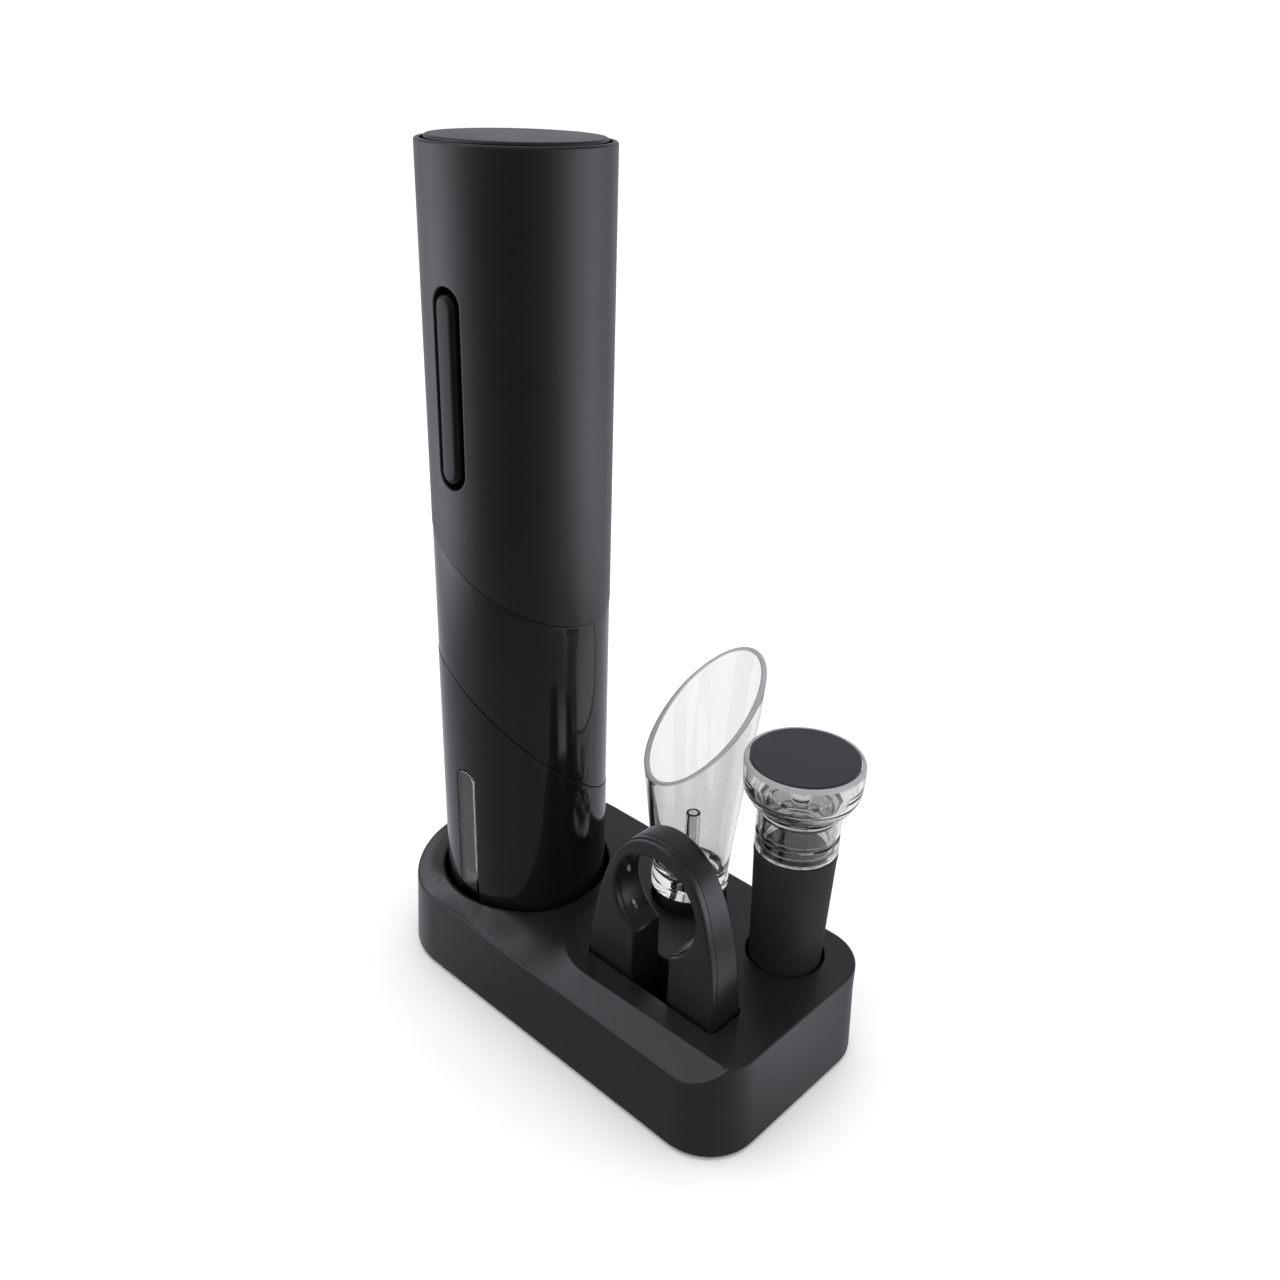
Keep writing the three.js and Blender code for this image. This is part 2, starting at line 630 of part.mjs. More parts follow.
// ---- Foil cutter --------------------------------------------------------------------------------
const WHEEL = { radius: 2.4, clearance: 0.4, thickness: 0.9, axle: 0.7, orbit: CUTTER.bore + 1.3 };
const WHEEL_ANGLES = [8, 172, 218, 322];

function cutterShape() {
  const z0 = CUTTER.bottom;
  const foot = 23.6;
  const shape = new THREE.Shape();
  shape.moveTo(-foot, z0);
  shape.lineTo(-foot, 34);
  shape.bezierCurveTo(-22.6, 50, -19, 63, -15.6, 69.4);
  shape.bezierCurveTo(-11.8, 76.6, -6.4, CUTTER.top, 0, CUTTER.top);
  shape.bezierCurveTo(6.4, CUTTER.top, 11.8, 76.6, 15.6, 69.4);
  shape.bezierCurveTo(19, 63, 22.6, 50, foot, 34);
  shape.lineTo(foot, z0);
  const g = CUTTER.gapWidth / 2;
  const meet = Math.atan2(Math.sqrt(CUTTER.bore ** 2 - g ** 2), g);
  shape.lineTo(g, z0);
  shape.lineTo(g, CUTTER.boreZ - CUTTER.bore * Math.sin(meet));
  shape.absarc(0, CUTTER.boreZ, CUTTER.bore, -meet, Math.PI + meet, false);
  shape.lineTo(-g, z0);
  return shape;
}

function cutterBody() {
  const thick = CUTTER.back - CUTTER.front;
  const geometry = extruded(cutterShape(), thick, 6).rotateX(Math.PI / 2).translate(0, thick / 2, 0);
  mapped(geometry, (p) => {
    p.y *= 1 - 0.2 * THREE.MathUtils.smoothstep(p.z, 30, CUTTER.top);
  });
  let body = solid(geometry);
  for (const degrees of WHEEL_ANGLES) body = body.subtract(wheelPocket(degrees));
  return piece("cutter_body", body, "gloss");
}

function wheelCentre(degrees) {
  const a = THREE.MathUtils.degToRad(degrees);
  return [WHEEL.orbit * Math.cos(a), CUTTER.boreZ + WHEEL.orbit * Math.sin(a)];
}

function acrossRod(radius, length, sides) {
  return new THREE.CylinderGeometry(radius, radius, length, sides);
}

function wheelPocket(degrees) {
  const [x, z] = wheelCentre(degrees);
  const reach = WHEEL.radius + WHEEL.clearance;
  const pocket = solid(acrossRod(reach, WHEEL.thickness + 0.9, 14).translate(x, 0, z));
  const axleHole = solid(acrossRod(WHEEL.axle + 0.15, 6.2, 10).translate(x, 0, z));
  const turn = THREE.MathUtils.degToRad(degrees);
  const mouth = new THREE.BoxGeometry(WHEEL.radius + 3, WHEEL.thickness + 0.9, 2 * reach);
  mouth.translate(-(WHEEL.radius + 3) / 2, 0, 0).rotateY(-turn).translate(x, 0, z);
  return pocket.add(axleHole).add(solid(mouth));
}

function cutterWheels() {
  return WHEEL_ANGLES.map((degrees, i) => {
    const [x, z] = wheelCentre(degrees);
    const { radius: r, thickness: t, axle } = WHEEL;
    const blade = [[r - 0.8, -t / 2], [r, 0], [r - 0.8, t / 2]];
    const section = [[0, -2.8], [axle, -2.8], [axle, -t / 2], ...blade, [axle, t / 2], [axle, 2.8], [0, 2.8]];
    const mesh = piece(`cutting_wheel_${i + 1}`, turned(section, 16), "steel");
    mesh.rotation.x = Math.PI / 2;
    return placed(x, 0, z, mesh);
  });
}

function foilCutter() {
  return placed(CUTTER.x, (CUTTER.front + CUTTER.back) / 2, 0, cutterBody(), ...cutterWheels());
}

// ---- Pourer -------------------------------------------------------------------------------------
function pourSpout() {
  const { ringZ, ringRadius: r, mouthZ, mouthTilt, mouthHeading } = POURER;
  const wall = 1.8;
  const ring = [[r + 0.4, ringZ - 3], [r + 0.4, ringZ], [r, ringZ + 0.6]];
  const outside = [[12.4, 50], [14.1, 66], [17.6, 97], [19.4, 122]];
  const inside = [[19.4 - wall, 122], [15.8, 97], [12.2, 66], [10, 52], [4.2, 44], [3.9, ringZ - 3]];
  const body = turned([...ring, ...outside, ...inside], 24);
  const slope = Math.tan(THREE.MathUtils.degToRad(mouthTilt));
  const above = new THREE.BoxGeometry(90, 90, 160).translate(0, 0, 80);
  const heading = THREE.MathUtils.degToRad(mouthHeading);
  mapped(above, (p) => {
    p.z += mouthZ + slope * (p.x * Math.cos(heading) + p.y * Math.sin(heading));
  });
  return piece("pour_spout", body.subtract(solid(above)), "clear");
}

function pourerPieces() {
  const { ringZ } = POURER;
  const bottom = HOLE_FLOOR + GAP;
  const sleeve = [[6, bottom], [8.8, bottom], [9.4, bottom + 1]];
  const fins = [14, 20.5, 27];
  for (const z of fins) sleeve.push([9.4, z - 0.9], [11.2, z + 0.6], [9.7, z + 1.4]);
  sleeve.push([10, 33.4], [11.2, 34.2], [11.2, ringZ - 3.3], [6, ringZ - 3.3]);
  const inner = tube(5.6, 3.9, bottom + 1, ringZ - 3.3, 16);
  const air = turned([[1.3, bottom + 2], [2.2, bottom + 2], [2.2, 62], [1.3, 62]], 12);
  return placed(
    POURER.x, POURER.y, 0,
    pourSpout(),
    piece("pourer_sleeve", turned(sleeve, 20), "rubber"),
    piece("pourer_core", inner, "clear"),
    piece("pourer_air_tube", air, "clear"),
  );
}

// ---- Vacuum stopper -----------------------------------------------------------------------------
function stopperPieces() {
  const { neckRadius: n, knobRadius: k, knobZ, ringZ, bowlZ } = STOPPER;
  const top = knobZ - 1.8;
  const bowl = [[0, bowlZ], [n, bowlZ], [n + 0.6, bowlZ + 2], [k - 1.4, top - 3.4], [k, top - 1.4], [k, top]];
  const hollow = [[15.4, top - 0.8], [13.5, top - 3], [10.2, bowlZ + 2.4], [0, bowlZ + 2.4]];
  const knob = [...bowl, [k - 1, top + 0.8], [15.4, top + 0.8], ...hollow];
  const disc = [[0, top - 0.4], [15.1, top - 0.4], [15.1, knobZ - 0.5], [14.6, knobZ], [0, knobZ]];
  const neckRoof = [[n, bowlZ - GAP], [3, bowlZ - GAP], [3, bowlZ - 2.3], [n - 1.8, bowlZ - 2.3]];
  const neck = [[n - 1.8, ringZ], [n, ringZ], ...neckRoof];
  const rodSection = [[0, 44], [2.3, 44], [2.3, bowlZ - GAP], [0, bowlZ - GAP]];
  const bottom = HOLE_FLOOR + GAP;
  const outside = [[8.6, bottom], [10, bottom + 0.8], [10.8, 39.5], [11.7, ringZ - 2.6], [11.9, ringZ - 2]];
  const sleeveTop = [[11.9, ringZ - GAP], [9.6, ringZ - GAP]];
  const sleeve = [...outside, ...sleeveTop, [9.6, 24], [6, 22], [3, 16], [3, bottom]];
  const seal = [[2.6, 46], [8.8, 45], [8.9, 47], [7, 49], [2.6, 50]];
  const valve = [[0, bottom + 2], [2.6, bottom + 2], [2.6, 17], [5, 22.6], [5, 23.6], [0, 24.2]];
  return placed(
    STOPPER.x, STOPPER.y, 0,
    piece("stopper_knob", turned(knob, 24), "clear"),
    piece("stopper_cap_disc", turned(disc, 24), "gloss"),
    piece("stopper_neck", turned(neck, 20), "clear"),
    piece("pump_rod", turned(rodSection, 12), "clear"),
    piece("pump_seal", turned(seal, 20), "rubber"),
    piece("stopper_sleeve", turned(sleeve, 20), "rubber"),
    piece("check_valve", turned(valve, 12), "rubber"),
  );
}

// ---- The whole set ------------------------------------------------------------------------------
const set = new THREE.Group();
set.add(basePieces(), openerPieces(), foilCutter(), pourerPieces(), stopperPieces());
set.position.y = -MIDDLE_Y;
export default set;
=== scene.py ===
import math

import bpy
from mathutils import Matrix, Vector
from mathutils.geometry import delaunay_2d_cdt


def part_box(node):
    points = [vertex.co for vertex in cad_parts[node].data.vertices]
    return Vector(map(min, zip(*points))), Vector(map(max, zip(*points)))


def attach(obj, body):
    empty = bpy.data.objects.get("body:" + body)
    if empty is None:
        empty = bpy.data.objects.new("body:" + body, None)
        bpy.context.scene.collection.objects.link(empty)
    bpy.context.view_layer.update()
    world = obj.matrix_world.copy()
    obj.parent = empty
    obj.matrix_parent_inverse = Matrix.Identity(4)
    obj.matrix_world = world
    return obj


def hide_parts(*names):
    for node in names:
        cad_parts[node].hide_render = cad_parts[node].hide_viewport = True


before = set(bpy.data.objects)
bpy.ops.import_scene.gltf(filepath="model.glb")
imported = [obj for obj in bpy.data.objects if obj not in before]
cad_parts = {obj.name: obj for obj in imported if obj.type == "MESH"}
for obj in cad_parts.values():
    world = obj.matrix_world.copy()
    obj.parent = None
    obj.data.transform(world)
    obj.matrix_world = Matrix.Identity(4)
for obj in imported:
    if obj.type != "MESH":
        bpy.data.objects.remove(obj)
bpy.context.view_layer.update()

MM = 0.001


# ---- Places, in millimetres, from the CAD parts' boxes --------------------------------------------
def box_mm(node):
    low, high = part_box(node)
    return Vector(low) / MM, Vector(high) / MM


def middle_mm(node):
    low, high = box_mm(node)
    return (low + high) / 2


def height_mm(node):
    low, high = box_mm(node)
    return high.z - low.z


HOUSING_LOW, HOUSING_HIGH = box_mm("base_housing")
BASE_X = 70.0  # half length of the base's top outline
BASE_Y = 35.3  # half width of the base's top outline
BASE_GROW = HOUSING_HIGH.x - BASE_X + 0.06  # how far the walls lean out down to the floor
BASE_TOP = HOUSING_HIGH.z
BASE_FRONT_TOP = 24.8
BASE_MIDDLE_Y = (HOUSING_LOW.y + HOUSING_HIGH.y) / 2
FOOT_GROW = BASE_GROW * (1 - HOUSING_LOW.z / BASE_TOP)
TOP_EDGE = 0.35  # how far the top's edge stands outside the top outline
EDGE_ROUND = 0.55
PLATE_INSET = 2.4  # width of the wall's foot round the base plate
CORNERS = (23.5, 15.0, 14.5, 33.0)  # front left, front right, back right, back left

OPENER = middle_mm("battery_cap")
OPENER_FOOT = box_mm("lower_housing")[0].z
OPENER_TOP = box_mm("upper_housing")[1].z
OPENER_R = 25.0
SOCKET_R = 27.3
WINDOW_ANGLE = -87.0
BUTTON_ANGLE = -88.0

CUTTER = middle_mm("cutter_body")
CUTTER_LOW, CUTTER_HIGH = box_mm("cutter_body")
CUTTER_SLOT = (48.4, 13.2)
SPOUT = middle_mm("pourer_sleeve")
STOPPER = middle_mm("stopper_sleeve")


# ---- Materials ------------------------------------------------------------------------------------
class Surface:
    """A new Principled material, and the nodes that vary it over an object."""

    def __init__(self, name):
        self.material = bpy.data.materials.new(name)
        self.material.use_nodes = True
        self.nodes = self.material.node_tree.nodes
        self.links = self.material.node_tree.links
        self.shader = self.nodes["Principled BSDF"]

    def feed(self, socket, source):
        self.links.new(source, self.shader.inputs[socket])

    def fix(self, **sockets):
        for socket, value in sockets.items():
            self.shader.inputs[socket.replace("_", " ")].default_value = value

    def noise(self, scale, detail=3.0, stretch=(1, 1, 1)):
        coordinates = self.nodes.new("ShaderNodeTexCoord")
        mapping = self.nodes.new("ShaderNodeMapping")
        mapping.inputs["Scale"].default_value = stretch
        noise = self.nodes.new("ShaderNodeTexNoise")
        noise.inputs["Scale"].default_value = scale
        noise.inputs["Detail"].default_value = detail
        self.links.new(coordinates.outputs["Object"], mapping.inputs["Vector"])
        self.links.new(mapping.outputs["Vector"], noise.inputs["Vector"])
        return noise.outputs["Fac"]

    def rough(self, source, low, high):
        """Roughness low..high from a noise, which runs from about 0.3 to 0.7."""
        span = self.nodes.new("ShaderNodeMapRange")
        span.inputs["From Min"].default_value = 0.3
        span.inputs["From Max"].default_value = 0.7
        span.inputs["To Min"].default_value = low
        span.inputs["To Max"].default_value = high
        self.links.new(source, span.inputs["Value"])
        self.feed("Roughness", span.outputs["Result"])

    def tint(self, source, dark, light):
        mix = self.nodes.new("ShaderNodeMix")
        mix.data_type = "RGBA"
        mix.inputs["A"].default_value = (*dark, 1)
        mix.inputs["B"].default_value = (*light, 1)
        self.links.new(source, mix.inputs["Factor"])
        self.feed("Base Color", mix.outputs["Result"])

    def bump(self, source, strength, distance):
        node = self.nodes.new("ShaderNodeBump")
        node.inputs["Strength"].default_value = strength
        node.inputs["Distance"].default_value = distance
        self.links.new(source, node.inputs["Height"])
        self.feed("Normal", node.outputs["Normal"])


def moulded(name, dark, light, rough, grain=2600, depth=0.000012, **sockets):
    """Plastic, rubber or nylon: a fine moulding grain, and a broad drift in tone and gloss."""
    surface = Surface(name)
    fine = surface.noise(grain, 2)
    broad = surface.noise(38, 4)
    surface.tint(broad, dark, light)
    surface.rough(broad, *rough)
    surface.bump(fine, 0.35, depth)
    surface.fix(**sockets)
    return surface.material


def metal(name, dark, light, rough, stretch=(1, 1, 1), grain=900):
    surface = Surface(name)
    brushed = surface.noise(grain, 4, stretch)
    surface.tint(brushed, dark, light)
    surface.rough(brushed, *rough)
    surface.bump(brushed, 0.15, 0.00001)
    surface.fix(Metallic=1.0)
    return surface.material


def clear_plastic(name, tint, rough, clear=1.0):
    surface = Surface(name)
    haze = surface.noise(120, 3)
    surface.rough(haze, *rough)
    surface.bump(haze, 0.08, 0.00004)
    surface.fix(Base_Color=(*tint, 1), Transmission_Weight=clear, IOR=1.49)
    return surface.material


SATIN = moulded("satin_black", (0.0055, 0.0055, 0.0062), (0.0070, 0.0070, 0.0078), (0.30, 0.37))
BASE_SATIN = moulded("base_satin_black", (0.0085, 0.0085, 0.0095), (0.0105, 0.0105, 0.0118), (0.30, 0.38),
                     2200)
GLOSS = moulded("gloss_black", (0.005, 0.005, 0.0056), (0.0062, 0.0062, 0.0070), (0.09, 0.14), 900,
                0.000003)
BUTTON_BLACK = moulded("button_black", (0.003, 0.003, 0.0033), (0.0042, 0.0042, 0.0046), (0.24, 0.32), 2600,
                      Specular_IOR_Level=0.25)
CUTTER_BLACK = moulded("cutter_black", (0.008, 0.008, 0.009), (0.010, 0.010, 0.0112), (0.24, 0.32), 1800)
DISC_BLACK = moulded("disc_black", (0.016, 0.016, 0.019), (0.020, 0.020, 0.0235), (0.34, 0.42), 2400)
RUBBER = moulded("black_rubber", (0.010, 0.010, 0.0115), (0.014, 0.014, 0.016), (0.60, 0.74), 1700, 0.00003)
NYLON = moulded("natural_nylon", (0.58, 0.56, 0.50), (0.66, 0.64, 0.58), (0.42, 0.55), 1500, 0.00002)
DARK_NYLON = moulded("dark_nylon", (0.016, 0.016, 0.018), (0.024, 0.024, 0.027), (0.45, 0.58), 1500,
                     0.00002)
BOARD = moulded("board_green", (0.010, 0.06, 0.028), (0.014, 0.085, 0.04), (0.30, 0.42), 1200)
WRAP = moulded("cell_wrap", (0.03, 0.07, 0.13), (0.04, 0.09, 0.16), (0.22, 0.30), 700)
# Painted shade: the clear acrylic's grey tint is darker than the plastic's own and stands in for the grey
# that darker surroundings reflect into clear walls.
CLEAR = clear_plastic("clear_acrylic", (0.775, 0.785, 0.78), (0.01, 0.03))
GROUND_RIM = clear_plastic("ground_rim", (0.40, 0.405, 0.42), (0.42, 0.55), 0.3)
LENS = clear_plastic("window_clear", (0.62, 0.63, 0.64), (0.02, 0.05))
STEEL = metal("bright_steel", (0.52, 0.53, 0.55), (0.66, 0.67, 0.69), (0.18, 0.32), (1, 1, 6))
# Painted shade: steel coloured near black, so that the rocker's axle pin reads as the slot's shade and does
# not glint.
PAINTED_SHADE_STEEL = metal("steel_painted_shade", (0.016, 0.016, 0.018), (0.03, 0.03, 0.033), (0.35, 0.5))
BRASS = metal("brass", (0.62, 0.43, 0.18), (0.76, 0.56, 0.27), (0.22, 0.36))


# ---- Mesh helpers ---------------------------------------------------------------------------------
def add(points, more):
    """Adds more to points and gives the new points' indices."""
    start = len(points)
    points.extend(more)
    return list(range(start, len(points)))


def quarter(steps):
    """Sine, and one minus cosine, at each step of a quarter turn after the start."""
    turns = [math.pi / 2 * k / steps for k in range(1, steps + 1)]
    return [(math.sin(turn), 1 - math.cos(turn)) for turn in turns]


def linked(name, data):
    """A new object in the scene."""
    thing = bpy.data.objects.new(name, data)
    bpy.context.scene.collection.objects.link(thing)
    return thing


def linked_mesh(name, points, faces, material):
    mesh = bpy.data.meshes.new(name)
    mesh.from_pydata(points, [], faces)
    mesh.validate()
    mesh.materials.append(material)
    return linked(name, mesh)


def new_piece(name, points, faces, material, body, slot, *nodes, sharp=32.0, creases=()):
    """A smooth-shaded piece from points in millimetres, on a body and in the place of CAD nodes. Edges
    above sharp degrees, and creases, stay crisp."""
    piece = linked_mesh(name, [Vector(p) * MM for p in points], faces, material)
    mesh = piece.data
    mesh.polygons.foreach_set("use_smooth", [True] * len(mesh.polygons))
    mesh.set_sharp_from_angle(angle=math.radians(sharp))
    if creases:
        wanted = {tuple(sorted(edge)) for edge in creases}
        for edge in mesh.edges:
            if tuple(sorted(edge.vertices)) in wanted:
                edge.use_edge_sharp = True
    weighted = piece.modifiers.new("face_weights", "WEIGHTED_NORMAL")
    weighted.keep_sharp = True
    weighted.weight = 100
    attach(piece, body)
    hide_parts(*nodes)
    return piece


def rounded(corners, steps=5):
    """A polyline of (x, y, radius) corners with each corner turned by an arc of its radius."""
    result = []
    count = len(corners)
    for i, (x, y, radius) in enumerate(corners):
        here = Vector((x, y))
        if radius == 0 or i in (0, count - 1):
            result.append((x, y))
            continue
        back = Vector(corners[i - 1][:2]) - here
        ahead = Vector(corners[i + 1][:2]) - here
        half = back.angle(ahead) / 2
        run = min(radius / math.tan(half), back.length * 0.49, ahead.length * 0.49)
        start = here + back.normalized() * run
        end = here + ahead.normalized() * run
        true_radius = run * math.tan(half)
        inward = (back.normalized() + ahead.normalized()).normalized()
        centre = here + inward * (true_radius / math.sin(half))
        first = start - centre
        last = end - centre
        turn = first.angle_signed(last)
        for k in range(steps + 1):
            point = centre + Matrix.Rotation(-turn * k / steps, 2) @ first
            result.append((point.x, point.y))
    return result


def lathe(profile, sides=96, at=(0, 0, 0), closed=False):
    """A turned surface about the Z axis through at, from (radius, z) points."""
    points = []
    rings = []
    for radius, z in profile:
        if radius < 1e-6:
            rings.append([len(points)] * sides)
            points.append((at[0], at[1], at[2] + z))
            continue
        rings.append(list(range(len(points), len(points) + sides)))
        for i in range(sides):
            angle = 2 * math.pi * i / sides
            points.append((at[0] + radius * math.cos(angle), at[1] + radius * math.sin(angle), at[2] + z))
    pairs = list(zip(rings, rings[1:]))
    if closed:
        pairs.append((rings[-1], rings[0]))
    faces = []
    for low, high in pairs:
        for i in range(sides):
            j = (i + 1) % sides
            corners = [low[i], low[j], high[j], high[i]]
            face = [c for k, c in enumerate(corners) if c != corners[k - 1]]
            if len(set(face)) > 2:
                faces.append(face)
    return points, faces


def turned(name, node, profile, material, body, slot, axis, sides=96, closed=False, steps=4):
    """A turned piece that stands for a CAD node, upright about axis. The profile has (radius, z, rounding)
    corners above the node's foot, counter-clockwise with the axis on the left."""
    outline = rounded(profile, steps)
    if closed:
        first = [profile[-1], profile[0], profile[1]]
        outline = rounded([*profile, profile[0]], steps)[:-1]
        if profile[0][2]:
            outline = outline[1:] + rounded(first, steps)[1:-1]
    points, faces = lathe(outline, sides, (axis.x, axis.y, box_mm(node)[0].z), closed)
    return new_piece(name, points, faces, material, body, slot, node)


def inside_loop(x, y, loop):
    inside = False
    previous = loop[-1]
    for point in loop:
        if (point[1] > y) != (previous[1] > y):
            cross = (previous[0] - point[0]) * (y - point[1]) / (previous[1] - point[1]) + point[0]
            if x < cross:
                inside = not inside
        previous = point
    return inside


def filled(outer, holes, extra=(), lines=()):
    """Triangles over a flat region. outer and holes are loops of 2-D points, extra are loose points, and
    edges must follow the open lines. Gives all points, the loops' own first, and the triangles."""
    points = []
    edges = []
    for loop in (outer, *holes):
        start = len(points)
        points.extend(loop)
        edges.extend((start + i, start + (i + 1) % len(loop)) for i in range(len(loop)))
    for line in lines:
        start = len(points)
        points.extend(line)
        edges.extend((start + i, start + i + 1) for i in range(len(line) - 1))
    points.extend(extra)
    made, _, triangles, origin, _, _ = delaunay_2d_cdt([Vector(p) for p in points], edges, [], 0, 1e-7)
    source = [indices[0] if indices else None for indices in origin]
    kept = []
    for triangle in triangles:
        x = sum(made[i][0] for i in triangle) / 3
        y = sum(made[i][1] for i in triangle) / 3
        if inside_loop(x, y, outer) and not any(inside_loop(x, y, hole) for hole in holes):
            kept.append([source[i] for i in triangle])
    return points, kept


def facing(triangle, flat, forward):
    """The triangle's corners, counter-clockwise if forward and clockwise if not."""
    a, b, c = (flat[i] for i in triangle)
    area = (b[0] - a[0]) * (c[1] - a[1]) - (b[1] - a[1]) * (c[0] - a[0])
    return triangle if (area > 0) == forward else list(reversed(triangle))


def bridge(faces, first, second):
    """Quads from loop first to loop second, index by index."""
    count = len(first)
    for i in range(count):
        j = (i + 1) % count
        faces.append([first[i], first[j], second[j], second[i]])


def joined(faces, ring, next_ring, flip=False):
    """Joins next_ring to ring, and gives next_ring."""
    if flip:
        bridge(faces, next_ring, ring)
    else:
        bridge(faces, ring, next_ring)
    return next_ring


def index_rings(loops):
    """Each loop's indices, where their points follow one another from index 0."""
    rings = []
    start = 0
    for loop in loops:
        rings.append(list(range(start, start + len(loop))))
        start += len(loop)
    return rings


def circle(x, y, radius, count=96):
    angles = [2 * math.pi * i / count for i in range(count)]
    return [(x + radius * math.cos(a), y + radius * math.sin(a)) for a in angles]


def stadium(width, length, inset=0.0, arc=14, straight=24):
    """A closed upright slot outline about the origin, counter-clockwise."""
    radius = width / 2 - inset
    reach = (length - width) / 2
    points = []
    for side, start in ((1, 0.0), (-1, math.pi)):
        for i in range(arc + 1):
            angle = start + math.pi * i / arc
            points.append((radius * math.cos(angle), side * reach + radius * math.sin(angle)))
        for i in range(1, straight):
            points.append((-side * radius, side * reach - side * 2 * reach * i / straight))
    return points


def smooth(value, low, high):
    t = min(max((value - low) / (high - low), 0.0), 1.0)
    return t * t * (3 - 2 * t)


# ---- Storage base ---------------------------------------------------------------------------------
def corner_loop(corners, arc, side):
    """Four arcs (centre x, centre y, radius) from the front left one, joined by straight sides."""
    points = []
    for k, (cx, cy, r) in enumerate(corners):
        start = math.pi + k * math.pi / 2
        for i in range(arc):
            angle = start + (math.pi / 2) * i / arc
            points.append((cx + r * math.cos(angle), cy + r * math.sin(angle)))
        end = start + math.pi / 2
        nx, ny, nr = corners[(k + 1) % 4]
        here = Vector((cx + r * math.cos(end), cy + r * math.sin(end)))
        there = Vector((nx + nr * math.cos(end), ny + nr * math.sin(end)))
        for i in range(side):
            step = here.lerp(there, i / side)
            points.append((step.x, step.y))
    return points


def base_outline(offset):
    """The base's rounded outline, counter-clockwise from the front left corner, about the base's middle."""
    x = BASE_X + offset
    y = BASE_Y + offset
    fl, fr, br, bl = (r + offset for r in CORNERS)
    corners = [(-x + fl, -y + fl, fl), (x - fr, -y + fr, fr), (x - br, y - br, br), (-x + bl, y - bl, bl)]
    return corner_loop(corners, 18, 28)


CREASE_LEFT = [(-4.2, 1.0), (-4.0, -6.9), (-3.1, -15.4), (-1.1, -20.6), (1.6, -24.2), (5.2, -27.4),
               (8.8, -29.3)]
CREASE_RIGHT = [(13.5, -29.9), (67.6, -28.5)]


def along(a, b, steps):
    return [(a[0] + (b[0] - a[0]) * i / steps, a[1] + (b[1] - a[1]) * i / steps) for i in range(steps)]


def crease_points():
    """The crisp edge of the raised flat that carries the accessories, about the base's middle."""
    spline = CREASE_LEFT + CREASE_RIGHT[:1]
    points = []
    for a, b in zip(spline, spline[1:]):
        points.extend(along(a, b, max(2, int(math.dist(a, b) / 1.6))))
    points.extend(along(*CREASE_RIGHT, 34))
    for _ in range(3):
        inner = []
        for before, here, after in zip(points, points[1:], points[2:]):
            inner.append(tuple((before[k] + 2 * here[k] + after[k]) / 4 for k in (0, 1)))
        points = [points[0], *inner, points[-1]]
    return points


CREASE = crease_points()
EDGE_LOOP = base_outline(TOP_EDGE)


def nearest(x, y, line):
    return min(math.hypot(x - px, y - py) for px, py in line)


def away_from(x, y, line, closed=False):
    """Distance from a point to a polyline's segments."""
    best = math.inf
    following = [*line[1:], line[0]] if closed else line[1:]
    for (ax, ay), (bx, by) in zip(line, following):
        dx = bx - ax
        dy = by - ay
        t = ((x - ax) * dx + (y - ay) * dy) / (dx * dx + dy * dy + 1e-12)
        t = min(max(t, 0.0), 1.0)
        best = min(best, math.hypot(x - ax - t * dx, y - ay - t * dy))
    return best


def on_flat(x, y):
    """True on the raised flat and everywhere behind the opener."""
    region = [*CREASE, (90, -28.2), (90, 60), (-90, 60), (-90, 1.0)]
    return inside_loop(x, y, region)


def base_height(x, y):
    """Height of the base's top, which falls from the crease and from the socket to the front edge."""
    if on_flat(x, y) and x > -5:
        return BASE_TOP
    drop = BASE_TOP - BASE_FRONT_TOP
    opener_x = OPENER.x
    opener_y = OPENER.y - BASE_MIDDLE_Y
    if x > CREASE_RIGHT[0][0]:
        (x0, y0), (x1, y1) = CREASE_RIGHT
        crease_y = y0 + (y1 - y0) * (x - x0) / (x1 - x0)
        return BASE_TOP - max(0.0, drop * (crease_y - y) / (crease_y + BASE_Y + 0.3))
    to_edge = away_from(x, y, EDGE_LOOP, True)
    to_crease = away_from(x, y, CREASE)
    to_rim = max(0.0, math.hypot(x - opener_x, y - opener_y) - SOCKET_R)
    strip = drop * to_crease / (to_crease + to_edge + 1e-6) * smooth(-y, -1.0, 9.0)
    share = to_rim / (to_rim + to_edge + 1e-6)
    shoulder = drop * smooth(share, 0.12, 1.25) / smooth(1.0, 0.12, 1.25)
    shoulder *= min(max((-y - 6.0) / 26.0, 0.0), 1.0) ** 1.15
    mix = smooth(x, -24.0, 4.0)
    return BASE_TOP - (shoulder + (strip - shoulder) * mix)


def slot_outline(width, depth, radius, x, y):
    reach_x = width / 2 - radius
    reach_y = depth / 2 - radius
    sides = ((-1, -1), (1, -1), (1, 1), (-1, 1))
    return corner_loop([(x + sx * reach_x, y + sy * reach_y, radius) for sx, sy in sides], 8, 16)


def socket_loops():
    """For each socket: a function from offset to outline, its floor's height and its lip's rounding."""
    oy = BASE_MIDDLE_Y
    width, depth = CUTTER_SLOT
    corner = 2.2
    slot_y = CUTTER.y - oy

    def slot(grow):
        return slot_outline(width + 2 * grow, depth + 2 * grow, corner + grow, CUTTER.x, slot_y)

    return [
        (lambda grow: circle(OPENER.x, OPENER.y - oy, 26.1 + grow, 120), 6.5, 1.2),
        (lambda grow: circle(SPOUT.x, SPOUT.y - oy, 11.5 + grow, 72), 8.0, 0.6),
        (lambda grow: circle(STOPPER.x, STOPPER.y - oy, 11.3 + grow, 72), 8.0, 0.7),
        (slot, 8.2, 0.5),
    ]


